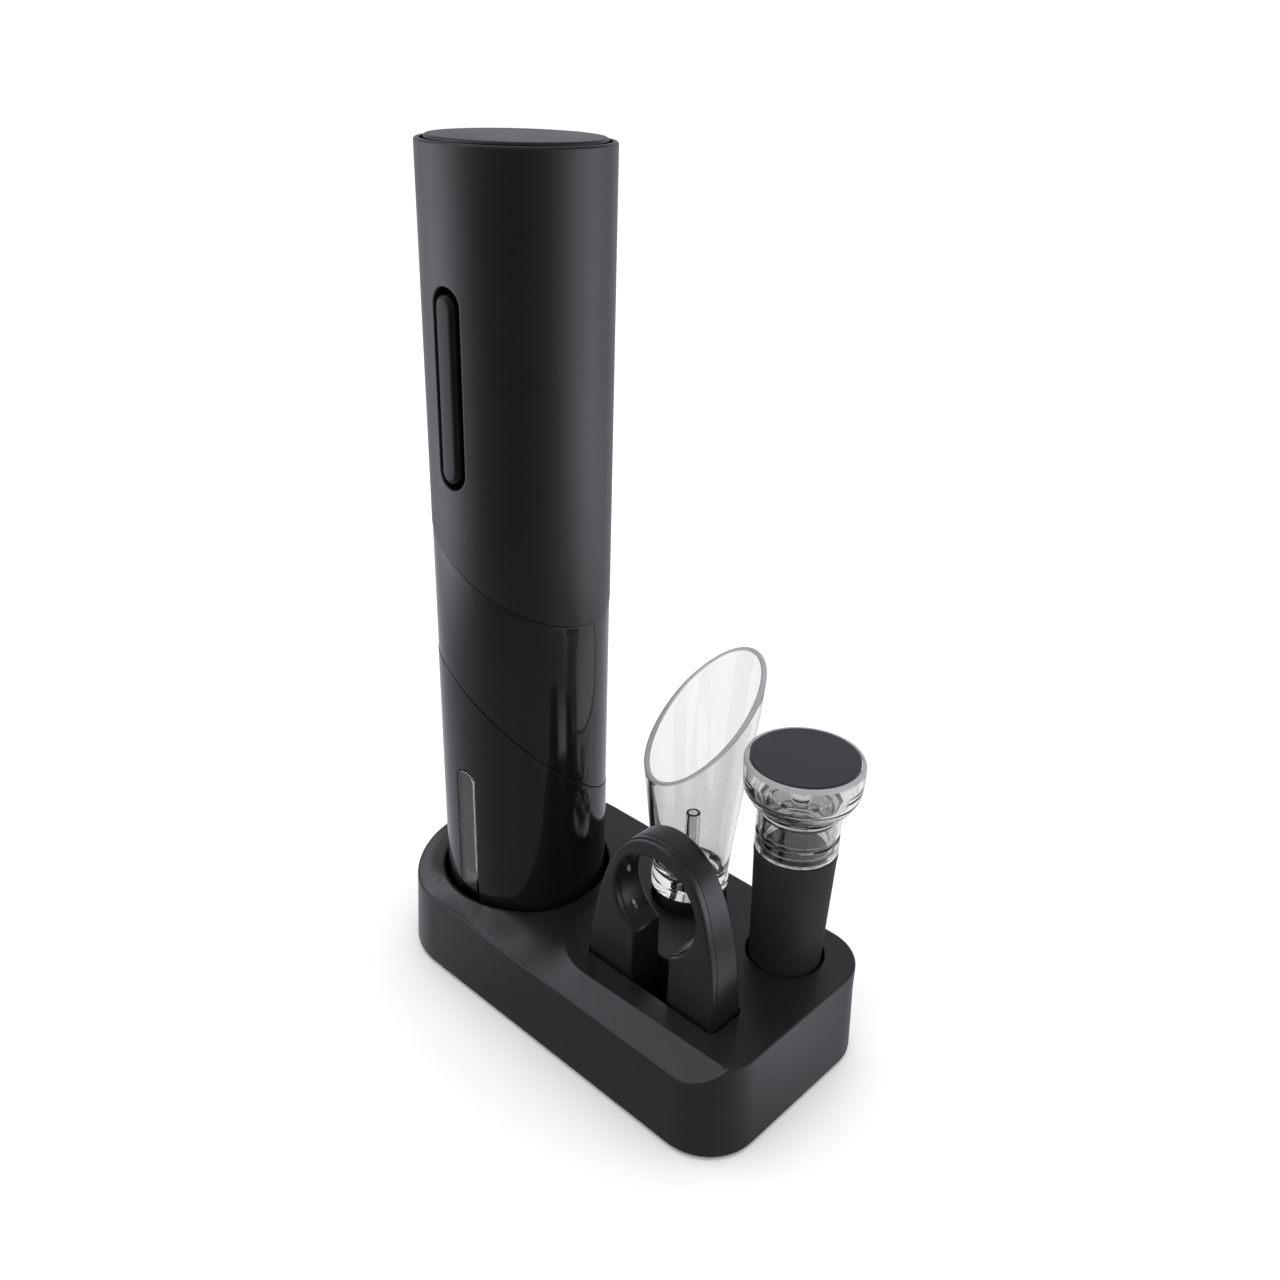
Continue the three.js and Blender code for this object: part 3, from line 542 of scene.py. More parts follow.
def top_skin(top_loop, loops):
    """Points (x, y), triangles and the crease's points for the base's top, open at the sockets."""
    guard = 0.25  # a ring of points this far from every edge keeps the rounding even
    spacing = 2.4
    clearance = 1.0
    hole_loops = [outline(lip) for outline, _, lip in loops]
    guard_loops = [outline(lip + guard) for outline, _, lip in loops]
    inner_guard = base_outline(TOP_EDGE - EDGE_ROUND - guard)
    fixed = [p for loop in (inner_guard, *guard_loops, CREASE) for p in loop]
    loose = []
    for i in range(-29, 30):
        for j in range(-15, 16):
            x = i * spacing
            y = j * spacing
            if not inside_loop(x, y, inner_guard) or any(inside_loop(x, y, loop) for loop in guard_loops):
                continue
            if nearest(x, y, fixed) > clearance:
                loose.append((x, y))
    crease = [p for p in CREASE if inside_loop(*p, inner_guard)]
    crease = [p for p in crease if all(nearest(*p, loop) > 0.6 for loop in guard_loops)]
    guards = [p for loop in guard_loops for p in loop]
    flat, triangles = filled(top_loop, hole_loops, [*inner_guard, *guards, *loose], [crease])
    return flat, triangles, crease, hole_loops


def base_piece():
    points = []
    faces = []

    def add_ring(loop, heights):
        return add(points, [(x, y + BASE_MIDDLE_Y, z) for (x, y), z in zip(loop, heights)])

    top_loop = base_outline(TOP_EDGE - EDGE_ROUND)
    loops = socket_loops()
    flat, triangles, crease, hole_loops = top_skin(top_loop, loops)
    add_ring(flat, [base_height(x, y) for x, y in flat])
    faces.extend(triangles)
    ring, *hole_rings = index_rings([top_loop, *hole_loops])
    start = hole_rings[-1][-1] + 1
    creases = [(start + i, start + i + 1) for i in range(len(crease) - 1)]

    # Rounded top edge.
    for sine, drop in quarter(4):
        outer = base_outline(TOP_EDGE - EDGE_ROUND + EDGE_ROUND * sine)
        heights = [base_height(x, y) - EDGE_ROUND * drop for x, y in top_loop]
        ring = joined(faces, ring, add_ring(outer, heights), True)

    # Leaning wall, lower lip and the pocket that takes the base plate.
    shoulder_heights = [points[i][2] for i in ring]
    foot_z = HOUSING_LOW.z + 0.5
    for share in (0.25, 0.5, 0.75, 1.0):
        heights = [z_top + (foot_z - z_top) * share for z_top in shoulder_heights]
        wall = []
        for (x, y), (gx, gy), z in zip(base_outline(0), base_outline(BASE_GROW), heights):
            lean = 1 - z / BASE_TOP
            wall.append((x + (gx - x) * lean, y + (gy - y) * lean))
        ring = joined(faces, ring, add_ring(wall, heights), True)
    for inset, rise in ((0.15, 0.15), (0.5, 0.0), (PLATE_INSET, 0.0), (PLATE_INSET, 3.0)):
        next_ring = add_ring(base_outline(FOOT_GROW - inset), [HOUSING_LOW.z + rise] * len(ring))
        ring = joined(faces, ring, next_ring, True)
    faces.append(list(reversed(ring)))

    # Sockets: a rounded rim, a plain wall and a floor with a small cove.
    for (outline, floor_z, lip), ring in zip(loops, hole_rings):
        heights = [points[i][2] for i in ring]
        for sine, drop in quarter(6):
            next_ring = add_ring(outline(lip * (1 - sine)), [z - lip * drop for z in heights])
            ring = joined(faces, ring, next_ring)
        for inset, z in ((0.0, floor_z + 0.8), (0.25, floor_z + 0.2), (0.8, floor_z)):
            ring = joined(faces, ring, add_ring(outline(-inset), [z] * len(ring)))
        faces.append(ring)
    new_piece("base_body", points, faces, BASE_SATIN, "base", "satin_black", "base_housing", sharp=40.0,
              creases=creases)


def base_underside():
    """The base plate with its foot recesses and screw holes, the feet and the screws."""
    low, high = box_mm("base_plate")
    recess_depth = 0.8
    gap = 0.35
    edge = base_outline(FOOT_GROW - PLATE_INSET - gap)
    feet = [middle_mm(f"rubber_foot_{i}") for i in range(1, 5)]
    screws = [middle_mm(f"base_screw_{i}") for i in range(1, 5)]
    recesses = [circle(p.x, p.y - BASE_MIDDLE_Y, 6.3, 48) for p in feet]
    recesses += [circle(p.x, p.y - BASE_MIDDLE_Y, 3.6, 32) for p in screws]
    flat, triangles = filled(edge, recesses)
    points = [(x, y + BASE_MIDDLE_Y, low.z) for x, y in flat]
    faces = [list(reversed(t)) for t in triangles]
    edge_ring, *rings = index_rings([edge, *recesses])
    for loop, ring in zip(recesses, rings):
        inner = add(points, [(x, y + BASE_MIDDLE_Y, low.z + recess_depth) for x, y in loop])
        bridge(faces, inner, ring)
        faces.append(list(reversed(inner)))
    upper = add(points, [(x, y + BASE_MIDDLE_Y, high.z) for x, y in edge])
    bridge(faces, edge_ring, upper)
    faces.append(upper)
    new_piece("base_underplate", points, faces, BASE_SATIN, "base", "satin_black", "base_plate", sharp=30.0)
    pad = [(0, 0, 0), (5.9, 0, 0.7), (6.0, 1.8, 0.2), (0, 1.8, 0)]
    screw = [(0, 0.5, 0), (0.9, 0.5, 0), (1.3, 0, 0.1), (3.2, 0, 0.3), (3.2, 0.7, 0.2), (1.3, 1.1, 0.1),
             (1.3, 11, 0), (0, 12, 0)]
    for i, at in enumerate(feet, 1):
        turned(f"foot_pad_{i}", f"rubber_foot_{i}", pad, RUBBER, "base", "black_rubber", at, 64)
    for i, at in enumerate(screws, 1):
        turned(f"plate_screw_{i}", f"base_screw_{i}", screw, STEEL, "base", "steel", at, 40)


# ---- Opener shells --------------------------------------------------------------------------------
COLUMNS = 144
COLUMN_STEP = 360 / COLUMNS
HOLE_SPAN = 5  # columns that a slot's patch takes up to each side
# Rows of each shell's section between which a slot's patch lies, outside and inside.
WINDOW_ROWS = ((4, 16), (27, 39))
ROCKER_ROWS = ((8, 26), (41, 59))


BORE_R = OPENER_R - 2.0
# Each slanted seam's height above the opener's foot, its slope and the heading of its highest point.
UPPER_SEAM = (130.8, 0.58, -166)
LOWER_SEAM = (79.2, 0.95, -129)


def seam_z(angle, seam):
    """Height of a slanted seam at an angle in degrees round the opener."""
    middle, slope, heading = seam
    return OPENER_FOOT + middle + slope * OPENER_R * math.cos(math.radians(angle - heading))


def on_tube(angle, x, z, radius):
    """The point that lies x round the opener from an angle in degrees, at a radius and height."""
    turn = math.radians(angle) + x / OPENER_R
    return (OPENER.x + radius * math.cos(turn), OPENER.y + radius * math.sin(turn), z)


def shell(name, section, material, slot, node, hole=None):
    """A ring whose cross-section may change round the opener. section(angle) gives (radius, z) points, up
    the outside first. hole = (angle, middle z, width, length, rounding, outer rows, inner rows)."""
    centre = hole[0] if hole else 0.0
    angles = [centre + i * COLUMN_STEP for i in range(COLUMNS)]
    sections = [section(a) for a in angles]
    rows = len(sections[0])
    points = []
    for angle, outline in zip(angles, sections):
        points.extend(on_tube(angle, 0, z, r) for r, z in outline)

    def index(i, k):
        return (i % COLUMNS) * rows + k % rows

    skipped = set()
    faces = []
    if hole:
        for low, high in hole[5:]:
            skipped |= {(i % COLUMNS, k) for i in range(-HOLE_SPAN, HOLE_SPAN) for k in range(low, high)}
    for i in range(COLUMNS):
        for k in range(rows):
            if (i, k) not in skipped:
                faces.append([index(i, k), index(i + 1, k), index(i + 1, k + 1), index(i, k + 1)])
    if hole:
        cut_slot(points, faces, index, sections, hole)
    new_piece(name, points, faces, material, "opener", slot, node)


def cut_slot(points, faces, index, sections, hole):
    angle, middle, width, length, rounding, *both_rows = hole
    rings = []
    for outside, (low, high) in zip((True, False), both_rows):
        radius = sections[0][low][0]
        border = [(i, low) for i in range(-HOLE_SPAN, HOLE_SPAN)]
        border += [(HOLE_SPAN, k) for k in range(low, high)]
        border += [(i, high) for i in range(HOLE_SPAN, -HOLE_SPAN, -1)]
        border += [(-HOLE_SPAN, k) for k in range(high, low, -1)]
        if not outside:
            border.reverse()
        outer = [(math.radians(i * COLUMN_STEP) * OPENER_R, sections[i % COLUMNS][k][1]) for i, k in border]
        grow = rounding if outside else 0.0
        slot = [(x, z + middle) for x, z in stadium(width + 2 * grow, length + 2 * grow)]
        loose = set()
        edge_x = max(x for x, _ in outer) - 0.1
        for i in range(1 - HOLE_SPAN, HOLE_SPAN):
            x = math.radians(i * COLUMN_STEP) * OPENER_R
            for z in [p[1] for p in outer if abs(p[0]) > edge_x]:
                if not inside_loop(x, z, slot) and nearest(x, z, slot) > 0.8 and inside_loop(x, z, outer):
                    loose.add((x, z))
        flat, triangles = filled(outer, [slot], sorted(loose))
        ids = [index(i, k) for i, k in border]
        ids += add(points, [on_tube(angle, x, z, radius) for x, z in flat[len(outer):]])
        for triangle in triangles:
            faces.append([ids[i] for i in facing(triangle, flat, outside)])
        rings.append([ids[len(outer) + i] for i in range(len(slot))])
    ring, inner_ring = rings
    radius = sections[0][both_rows[0][0]][0]
    for sine, drop in quarter(4):
        grow = rounding * (1 - sine)
        outline = stadium(width + 2 * grow, length + 2 * grow)
        depth = rounding * drop
        next_ring = add(points, [on_tube(angle, x, z + middle, radius - depth) for x, z in outline])
        ring = joined(faces, ring, next_ring)
    bridge(faces, ring, inner_ring)


def spread(low, high, count):
    return [low + (high - low) * i / count for i in range(count)]


def lower_shell():
    def section(angle):
        top = seam_z(angle, LOWER_SEAM)
        bottom = OPENER_FOOT
        outside = [(BORE_R + 0.3, bottom), (OPENER_R - 1.1, bottom), (OPENER_R - 0.35, bottom + 0.3)]
        outside += [(OPENER_R, z) for z in spread(bottom + 1.1, top - 0.35, 16)]
        outside += [(OPENER_R, top - 0.35), (OPENER_R - 0.1, top - 0.1), (OPENER_R - 0.35, top)]
        inside = [(BORE_R + 0.3, top), (BORE_R, top - 0.3)]
        inside += [(BORE_R, z) for z in spread(top - 1.0, bottom + 0.3, 16)]
        inside += [(BORE_R, bottom + 0.3)]
        return outside + inside

    length = height_mm("window_lens") + 0.5
    hole = (WINDOW_ANGLE, middle_mm("window_lens").z, 7.6, length, 0.3, *WINDOW_ROWS)
    shell("lower_shell", section, GLOSS, "gloss_black", "lower_housing", hole)


def band_shell():
    r = OPENER_R - 0.14
    gap = 0.13

    def section(angle):
        bottom = seam_z(angle, LOWER_SEAM) + gap
        top = seam_z(angle, UPPER_SEAM) - gap
        outside = [(r - 0.35, bottom), (r - 0.1, bottom + 0.1)]
        outside += [(r, z) for z in spread(bottom + 0.35, top - 0.35, 12)]
        outside += [(r, top - 0.35), (r - 0.1, top - 0.1), (r - 0.35, top)]
        inside = [(r - 1.7, top), (r - 1.7, bottom)]
        return outside + inside

    shell("band_shell", section, GLOSS, "gloss_black", "accent_band")


def upper_shell():
    top = OPENER_TOP
    seat = box_mm("battery_cap")[1].x - OPENER.x + 1.0
    slot_low, slot_high = (corner.z + way * 6.0 for corner, way in zip(box_mm("rocker_button"), (-1, 1)))

    def section(angle):
        bottom = seam_z(angle, UPPER_SEAM)
        outside = [(OPENER_R - 0.35, bottom), (OPENER_R - 0.1, bottom + 0.1)]
        outside += [(OPENER_R, z) for z in spread(bottom + 0.35, slot_low, 6)]
        outside += [(OPENER_R, z) for z in spread(slot_low, slot_high, 18)]
        outside += [(OPENER_R, z) for z in spread(slot_high, top - 0.7, 5)]
        outside += [(OPENER_R, top - 0.7), (OPENER_R - 0.05, top - 0.42), (OPENER_R - 0.2, top - 0.2)]
        outside += [(OPENER_R - 0.42, top - 0.05), (OPENER_R - 0.7, top)]
        inside = [(seat + 0.25, top), (seat + 0.07, top - 0.07), (seat, top - 0.25), (seat, top - 6.8)]
        inside += [(BORE_R, top - 7.8)]
        inside += [(BORE_R, z) for z in spread(slot_high, slot_low, 18)]
        inside += [(BORE_R, slot_low), (BORE_R, bottom)]
        return outside + inside

    hole = (BUTTON_ANGLE, middle_mm("rocker_button").z, 9.4, 51.8, 0.5, *ROCKER_ROWS)
    shell("upper_shell", section, SATIN, "satin_black", "upper_housing", hole)


def top_cap():
    low, high = box_mm("battery_cap")
    r = (high.x - low.x) / 2
    height = high.z - low.z
    profile = [(0, 0, 0), (r - 2, 0, 0.4), (r, 1, 0.3), (r, height - 0.1, 0.75), (0, height, 0)]
    turned("cap_disc", "battery_cap", profile, SATIN, "cap", "satin_black", OPENER, 144, steps=6)
    height = height_mm("cap_seal_ring")
    profile = [(20.2, 0, 0.4), (21.8, 0, 0.4), (21.8, height, 0.4), (20.2, height, 0.4)]
    turned("cap_seal", "cap_seal_ring", profile, RUBBER, "opener", "black_rubber", OPENER, 96, True)


def capped_tube(rings):
    """Faces that join the rings in order and close both ends."""
    faces = [list(reversed(rings[0]))]
    for first, second in zip(rings, rings[1:]):
        bridge(faces, first, second)
    faces.append(rings[-1])
    return faces


def curved_bar(name, node, angle, material, body, slot, width, face, depth, rounding):
    """A slot-shaped bar as long as its CAD node, whose face follows the opener's curve."""
    middle = middle_mm(node).z
    length = height_mm(node)
    levels = [(0.0, face - depth), (0.0, face - rounding)]
    levels += [(rounding * drop, face - rounding + rounding * sine) for sine, drop in quarter(6)]
    levels += [((width / 2 + rounding) / 2, face), (width / 2 - 0.2, face)]
    points = []
    rings = []
    for inset, radius in levels:
        outline = stadium(width, length, inset)
        rings.append(add(points, [on_tube(angle, x, z + middle, radius) for x, z in outline]))
    new_piece(name, points, capped_tube(rings), material, body, slot, node, sharp=35.0)


def rocker():
    curved_bar("rocker_bar", "rocker_button", BUTTON_ANGLE, BUTTON_BLACK, "rocker", "satin_black",
               width=6.6, face=OPENER_R + 0.7, depth=4.6, rounding=1.6)
    half = 5.9
    radius = 0.8
    profile = [(0, -half, 0), (radius, -half, 0.2), (radius, half, 0.2), (0, half, 0)]
    points, faces = lathe(rounded(profile), 32)
    turn = Matrix.Rotation(math.radians(BUTTON_ANGLE + 90), 3, "Z") @ Matrix.Rotation(math.pi / 2, 3, "Y")
    place = middle_mm("rocker_pin")
    points = [turn @ Vector(p) + place for p in points]
    # The axle pin gets the near-black steel with painted shade, so that it shows as shade in the rocker's
    # slot.
    new_piece("rocker_axle", points, faces, PAINTED_SHADE_STEEL, "opener", "steel", "rocker_pin")


def window():
    curved_bar("window_pane", "window_lens", WINDOW_ANGLE, LENS, "opener", "clear_plastic",
               width=7.1, face=OPENER_R + 0.1, depth=1.9, rounding=0.35)


# ---- Opener insides -------------------------------------------------------------------------------
def corkscrew():
    low, high = box_mm("corkscrew")
    radius = 3.1
    wire = 1.3
    pitch = 9.6
    hub_bottom = high.z - 9.0
    start_z = low.z + 1.6
    turns = (hub_bottom - low.z) / pitch
    steps = 420
    sides = 16
    around = [2 * math.pi * k / sides for k in range(sides)]
    points = []
    rings = []
    for i in range(steps + 1):
        turn = turns * i / steps
        angle = turn * 2 * math.pi
        taper = min(1.0, 0.06 + turn * 1.5)
        outward = Vector((math.cos(angle), math.sin(angle), 0))
        centre = Vector((OPENER.x, OPENER.y, start_z + turn * pitch)) + outward * radius
        tangent = Vector((-radius * outward.y, radius * outward.x, pitch / (2 * math.pi))).normalized()
        up = tangent.cross(outward).normalized()
        spokes = [outward * math.cos(a) + up * math.sin(a) for a in around]
        rings.append(add(points, [centre + spoke * wire * taper for spoke in spokes]))
    faces = capped_tube(rings)
    hub = [(0, hub_bottom, 0), (4.5, hub_bottom, 0.6), (5.0, hub_bottom + 1.4, 0.6), (5.0, high.z, 0.4),
           (0, high.z, 0)]
    hub_points, hub_faces = lathe(rounded(hub), 48, (OPENER.x, OPENER.y, 0))
    shift = len(points)
    points.extend(hub_points)
    faces.extend([[shift + i for i in face] for face in hub_faces])
    new_piece("screw_worm", points, faces, STEEL, "spindle", "steel", "corkscrew", sharp=40.0)


def bottle_collar():
    low, high = box_mm("bottle_collar")
    outer = (high.x - low.x) / 2
    height = high.z - low.z
    profile = [(18.0, 0, 0.4), (outer, 0, 0.3), (outer, 31.4, 0.3), (13.2, 31.4, 0.4), (13.2, height, 0.4),
               (11.6, height, 0.4), (11.6, 27.4, 0.8), (15.5, 27.4, 0.8), (15.5, 4.4, 1.5)]
    turned("neck_collar", "bottle_collar", profile, LENS, "opener", "clear_plastic", OPENER, 72, True)


def cells_and_motor():
    for i in range(1, 5):
        node = f"battery_cell_{i}"
        length = height_mm(node)
        neck = length - 1.6
        profile = [(0, 0, 0), (6.6, 0, 0.3), (7.0, 0.6, 0.3), (7.0, length - 2.2, 0.8), (6.2, neck, 0.3),
                   (2.7, neck, 0.2), (2.7, length, 0.4), (0, length, 0)]
        if i % 2 == 0:
            profile = [(r, length - z, k) for r, z, k in reversed(profile)]
        turned(f"cell_{i}", node, profile, WRAP, "opener", "cell_wrap", middle_mm(node), 64)
    height = height_mm("motor")
    profile = [(2.0, 0, 0.2), (3.0, 0, 0.3), (3.0, 1.6, 0.3), (12.0, 1.6, 0.8), (12.0, height, 0.9),
               (0, height, 0), (0, height - 4, 0), (2.0, height - 4, 0)]
    turned("motor_can", "motor", profile, STEEL, "opener", "steel", OPENER, 72, True)


def repaint(node, material):
    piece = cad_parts[node]
    for place in piece.material_slots:
        place.material = material


def repaint_insides():
    repaint("inner_chassis", DARK_NYLON)
    for node in ("ring_gear", *(f"planet_gear_{s}_{k}" for s in ("one", "two") for k in "abc")):
        repaint(node, NYLON)
    for node in ("gearbox_plate", "carrier_one", "drive_spindle", "bearing_plate"):
        repaint(node, STEEL)
    for node in ("motor_pinion", "spindle_bush", "contact_plate_top"):
        repaint(node, BRASS)
    repaint("circuit_board", BOARD)
    for node in ("switch_up", "switch_down"):
        repaint(node, BUTTON_BLACK)
    repaint("chamber_led", CLEAR)


# ---- Foil cutter ----------------------------------------------------------------------------------
def bezier(p0, p1, p2, p3, steps):
    points = []
    for i in range(1, steps + 1):
        t = i / steps
        s = 1 - t
        weights = (s**3, 3 * s * s * t, 3 * s * t * t, t**3)
        points.append(tuple(sum(w * p[k] for w, p in zip(weights, (p0, p1, p2, p3))) for k in (0, 1)))
    return points


def cutter_loop():
    """The cutter's outline in (x, z) about its middle, counter-clockwise from an outer foot corner."""
    z0 = CUTTER_LOW.z
    top = CUTTER_HIGH.z
    foot = (CUTTER_HIGH.x - CUTTER_LOW.x) / 2
    gap = 6.6
    bore = 14.7
    bore_z = 60.2
    right = [(foot, z0), (foot, (z0 + 34) / 2), (foot, 34)]
    right += bezier((foot, 34), (22.6, 50), (19, 63), (15.6, 69.4), 18)
    right += bezier((15.6, 69.4), (11.8, 76.6), (6.4, top), (0, top), 18)
    left = [(-x, z) for x, z in reversed(right[:-1])]
    meet = math.asin(math.sqrt(bore**2 - gap**2) / bore)
    ledge_z = bore_z - bore * math.sin(meet)
    inside = [(-gap, z0), (-gap, (z0 + ledge_z) / 2), (-gap, ledge_z - 1.2)]
    steps = 56
    for i in range(steps + 1):
        angle = math.pi + meet - (math.pi + 2 * meet) * i / steps
        inside.append((bore * math.cos(angle), bore_z + bore * math.sin(angle)))
    inside += [(gap, ledge_z - 1.2), (gap, (z0 + ledge_z) / 2), (gap, z0)]
    return right + left + inside


def offset_loop(loop, amount):
    """The loop moved inwards by amount, along each point's own normal."""
    count = len(loop)
    result = []
    for i, (x, y) in enumerate(loop):
        back = Vector(loop[i]) - Vector(loop[i - 1])
        ahead = Vector(loop[(i + 1) % count]) - Vector(loop[i])
        back.normalize()
        ahead.normalize()
        n0 = Vector((-back.y, back.x))
        n1 = Vector((-ahead.y, ahead.x))
        normal = (n0 + n1).normalized()
        scale = amount / max(0.45, normal.dot(n0))
        result.append((x + normal.x * scale, y + normal.y * scale))
    return result


def cutter_thickness(z):
    full = CUTTER_HIGH.y - CUTTER_LOW.y
    return full * (1 - 0.2 * smooth(z, 30, CUTTER_HIGH.z))


def cutting_wheel(i):
    node = f"cutting_wheel_{i}"
    at = middle_mm(node)
    low, high = box_mm(node)
    r = (high.x - low.x) / 2
    half = [(r - 0.9, 0.45, 0.1), (0.7, 0.45, 0.1), (0.7, 2.6, 0.2), (0, 2.6, 0)]
    profile = [(x, -z, k) for x, z, k in reversed(half)] + [(r - 0.02, 0, 0.03)] + half
    points, faces = lathe(rounded(profile, 3), 64)
    points = [(at.x + x, at.y - z, at.z + y) for x, y, z in points]
    new_piece(f"foil_wheel_{i}", points, faces, STEEL, f"wheel_{i}", "steel", node, sharp=25.0)


def cutter():
    rounding = 0.9
    seam = 0.16  # depth of the fine groove round the rim, beside the front face
    bends = [(0.0, 0.0), *quarter(4)]
    front = [(rounding * (1 - sine), -1, rounding * drop) for sine, drop in bends]
    back = [(inset, 1, depth) for inset, _, depth in reversed(front)]
    groove = [(0.0, -1, 2.3), (seam, -1, 2.45), (seam, -1, 2.6), (0.0, -1, 2.75)]
    loop = cutter_loop()
    points = []
    faces = []
    rings = []
    for inset, side, depth in (*front, *groove, (0.0, 1, 2.75), *back):
        ring = []
        for (x, z), (_, z_full) in zip(offset_loop(loop, inset), loop):
            half = cutter_thickness(z_full) / 2 - depth
            ring.append((CUTTER.x + x, CUTTER.y + side * half, z))
        rings.append(add(points, ring))
    for first, second in zip(rings, rings[1:]):
        bridge(faces, second, first)
    for ring, side in ((rings[0], -1), (rings[-1], 1)):
        edge = [(points[i][0], points[i][2]) for i in ring]
        flat, triangles = filled(edge, [], offset_loop(edge, 0.3))
        inner = flat[len(edge):]
        ids = ring + add(points, [(x, CUTTER.y + side * cutter_thickness(z) / 2, z) for x, z in inner])
        for triangle in triangles:
            faces.append([ids[i] for i in facing(triangle, flat, side < 0)])
    new_piece("cutter_arch", points, faces, CUTTER_BLACK, "cutter", "gloss_black", "cutter_body", sharp=50.0)
    for i in range(1, 5):
        cutting_wheel(i)


# ---- Pourer ---------------------------------------------------------------------------------------
MOUTH_Z = 93.5
MOUTH_TILT = 47.0
MOUTH_HEADING = 68.0
RIM_STEPS = 8


def blend_radius(z, knots):
    if z <= knots[0][0]:
        return knots[0][1]
    for (z0, r0), (z1, r1) in zip(knots, knots[1:]):
        if z <= z1:
            return r0 + (r1 - r0) * (z - z0) / (z1 - z0)
    return knots[-1][1]


def spout():
    ring_z = 39.6
    foot_z = ring_z + 0.6
    floor_z = 40.7
    wall = 1.7
    outer_knots = [(foot_z, 11.5), (50, 12.4), (66, 14.1), (97, 17.6), (122, 19.4)]
    inner_knots = [(40.8, 4.4), (41.5, 8.4), (43, 9.8), (46, 10.5), (66, 14.1 - wall), (97, 17.6 - wall),
                   (122, 19.4 - wall)]
    slope = math.tan(math.radians(MOUTH_TILT))
    sides = 120
    rise_rows = 22
    fall_rows = 26
    points = []
    rings = []
    for i in range(sides):
        angle = 2 * math.pi * i / sides
        facing_mouth = math.cos(angle - math.radians(MOUTH_HEADING))
        top = MOUTH_Z
        for _ in range(30):
            reach = blend_radius(top, outer_knots) - wall / 2
            top = 0.5 * top + 0.5 * (MOUTH_Z + slope * facing_mouth * reach)
        top -= wall / 2
        foot = [(3.9, ring_z - 3), (11.9, ring_z - 3), (11.9, ring_z - 0.2), (11.75, ring_z),
                (11.5, ring_z + 0.3)]
        rise = [foot_z + (top - foot_z) * (k / rise_rows) for k in range(rise_rows)]
        outline = foot + [(blend_radius(z, outer_knots), z) for z in rise]
        rim_start = len(outline)
        r_mid = blend_radius(top, outer_knots) - wall / 2
        for k in range(RIM_STEPS + 1):
            bend = math.pi * k / RIM_STEPS
            outline.append((r_mid + wall / 2 * math.cos(bend), top + wall / 2 * math.sin(bend)))
        shares = [1 - (1 - k / fall_rows) ** 1.5 for k in range(1, fall_rows + 1)]
        fall = [top - (top - floor_z) * share for share in shares]
        outline += [(blend_radius(z, inner_knots), z) for z in fall]
        outline += [(4.0, 40.6), (3.9, 40.0)]
        rings.append(add(points, [(SPOUT.x + r * math.cos(angle), SPOUT.y + r * math.sin(angle), z)
                                  for r, z in outline]))
    faces = []
    rim_faces = []
    for i in range(sides):
        a = rings[i]
        b = rings[(i + 1) % sides]
        for k in range(len(a)):
            j = (k + 1) % len(a)
            if rim_start <= k < rim_start + RIM_STEPS:
                rim_faces.append(len(faces))
            faces.append([a[k], b[k], b[j], a[j]])
    piece = new_piece("spout_horn", points, faces, CLEAR, "pourer", "clear_plastic", "pour_spout",
                      sharp=50.0)
    piece.data.materials.append(GROUND_RIM)
    for i in rim_faces:
        piece.data.polygons[i].material_index = 1


def pourer():
    spout()
    height = height_mm("pourer_sleeve")
    profile = [(6, 0, 0.3), (8.8, 0, 0.5), (9.4, 1, 0.3)]
    for z in (5.7, 12.2, 18.7):
        profile += [(9.4, z - 0.9, 0.2), (11.1, z + 0.5, 0.35), (9.7, z + 1.4, 0.3)]
    profile += [(10, 25.0, 0.3), (11.15, 26.0, 0.5), (11.15, height, 0.3), (6, height, 0.2)]
    turned("stem_seal", "pourer_sleeve", profile, RUBBER, "pourer", "black_rubber", SPOUT, 80, True)
    height = height_mm("pourer_core")
    profile = [(3.9, 0, 0.3), (5.6, 0, 0.3), (5.6, height, 0.3), (3.9, height, 0.3)]
    turned("stem_core", "pourer_core", profile, CLEAR, "pourer", "clear_plastic", SPOUT, 64, True)
    height = height_mm("pourer_air_tube")
    profile = [(1.3, 0, 0.2), (2.2, 0, 0.3), (2.2, height, 0.3), (1.3, height, 0.2)]
    turned("air_tube", "pourer_air_tube", profile, CLEAR, "pourer", "clear_plastic", SPOUT, 48, True)


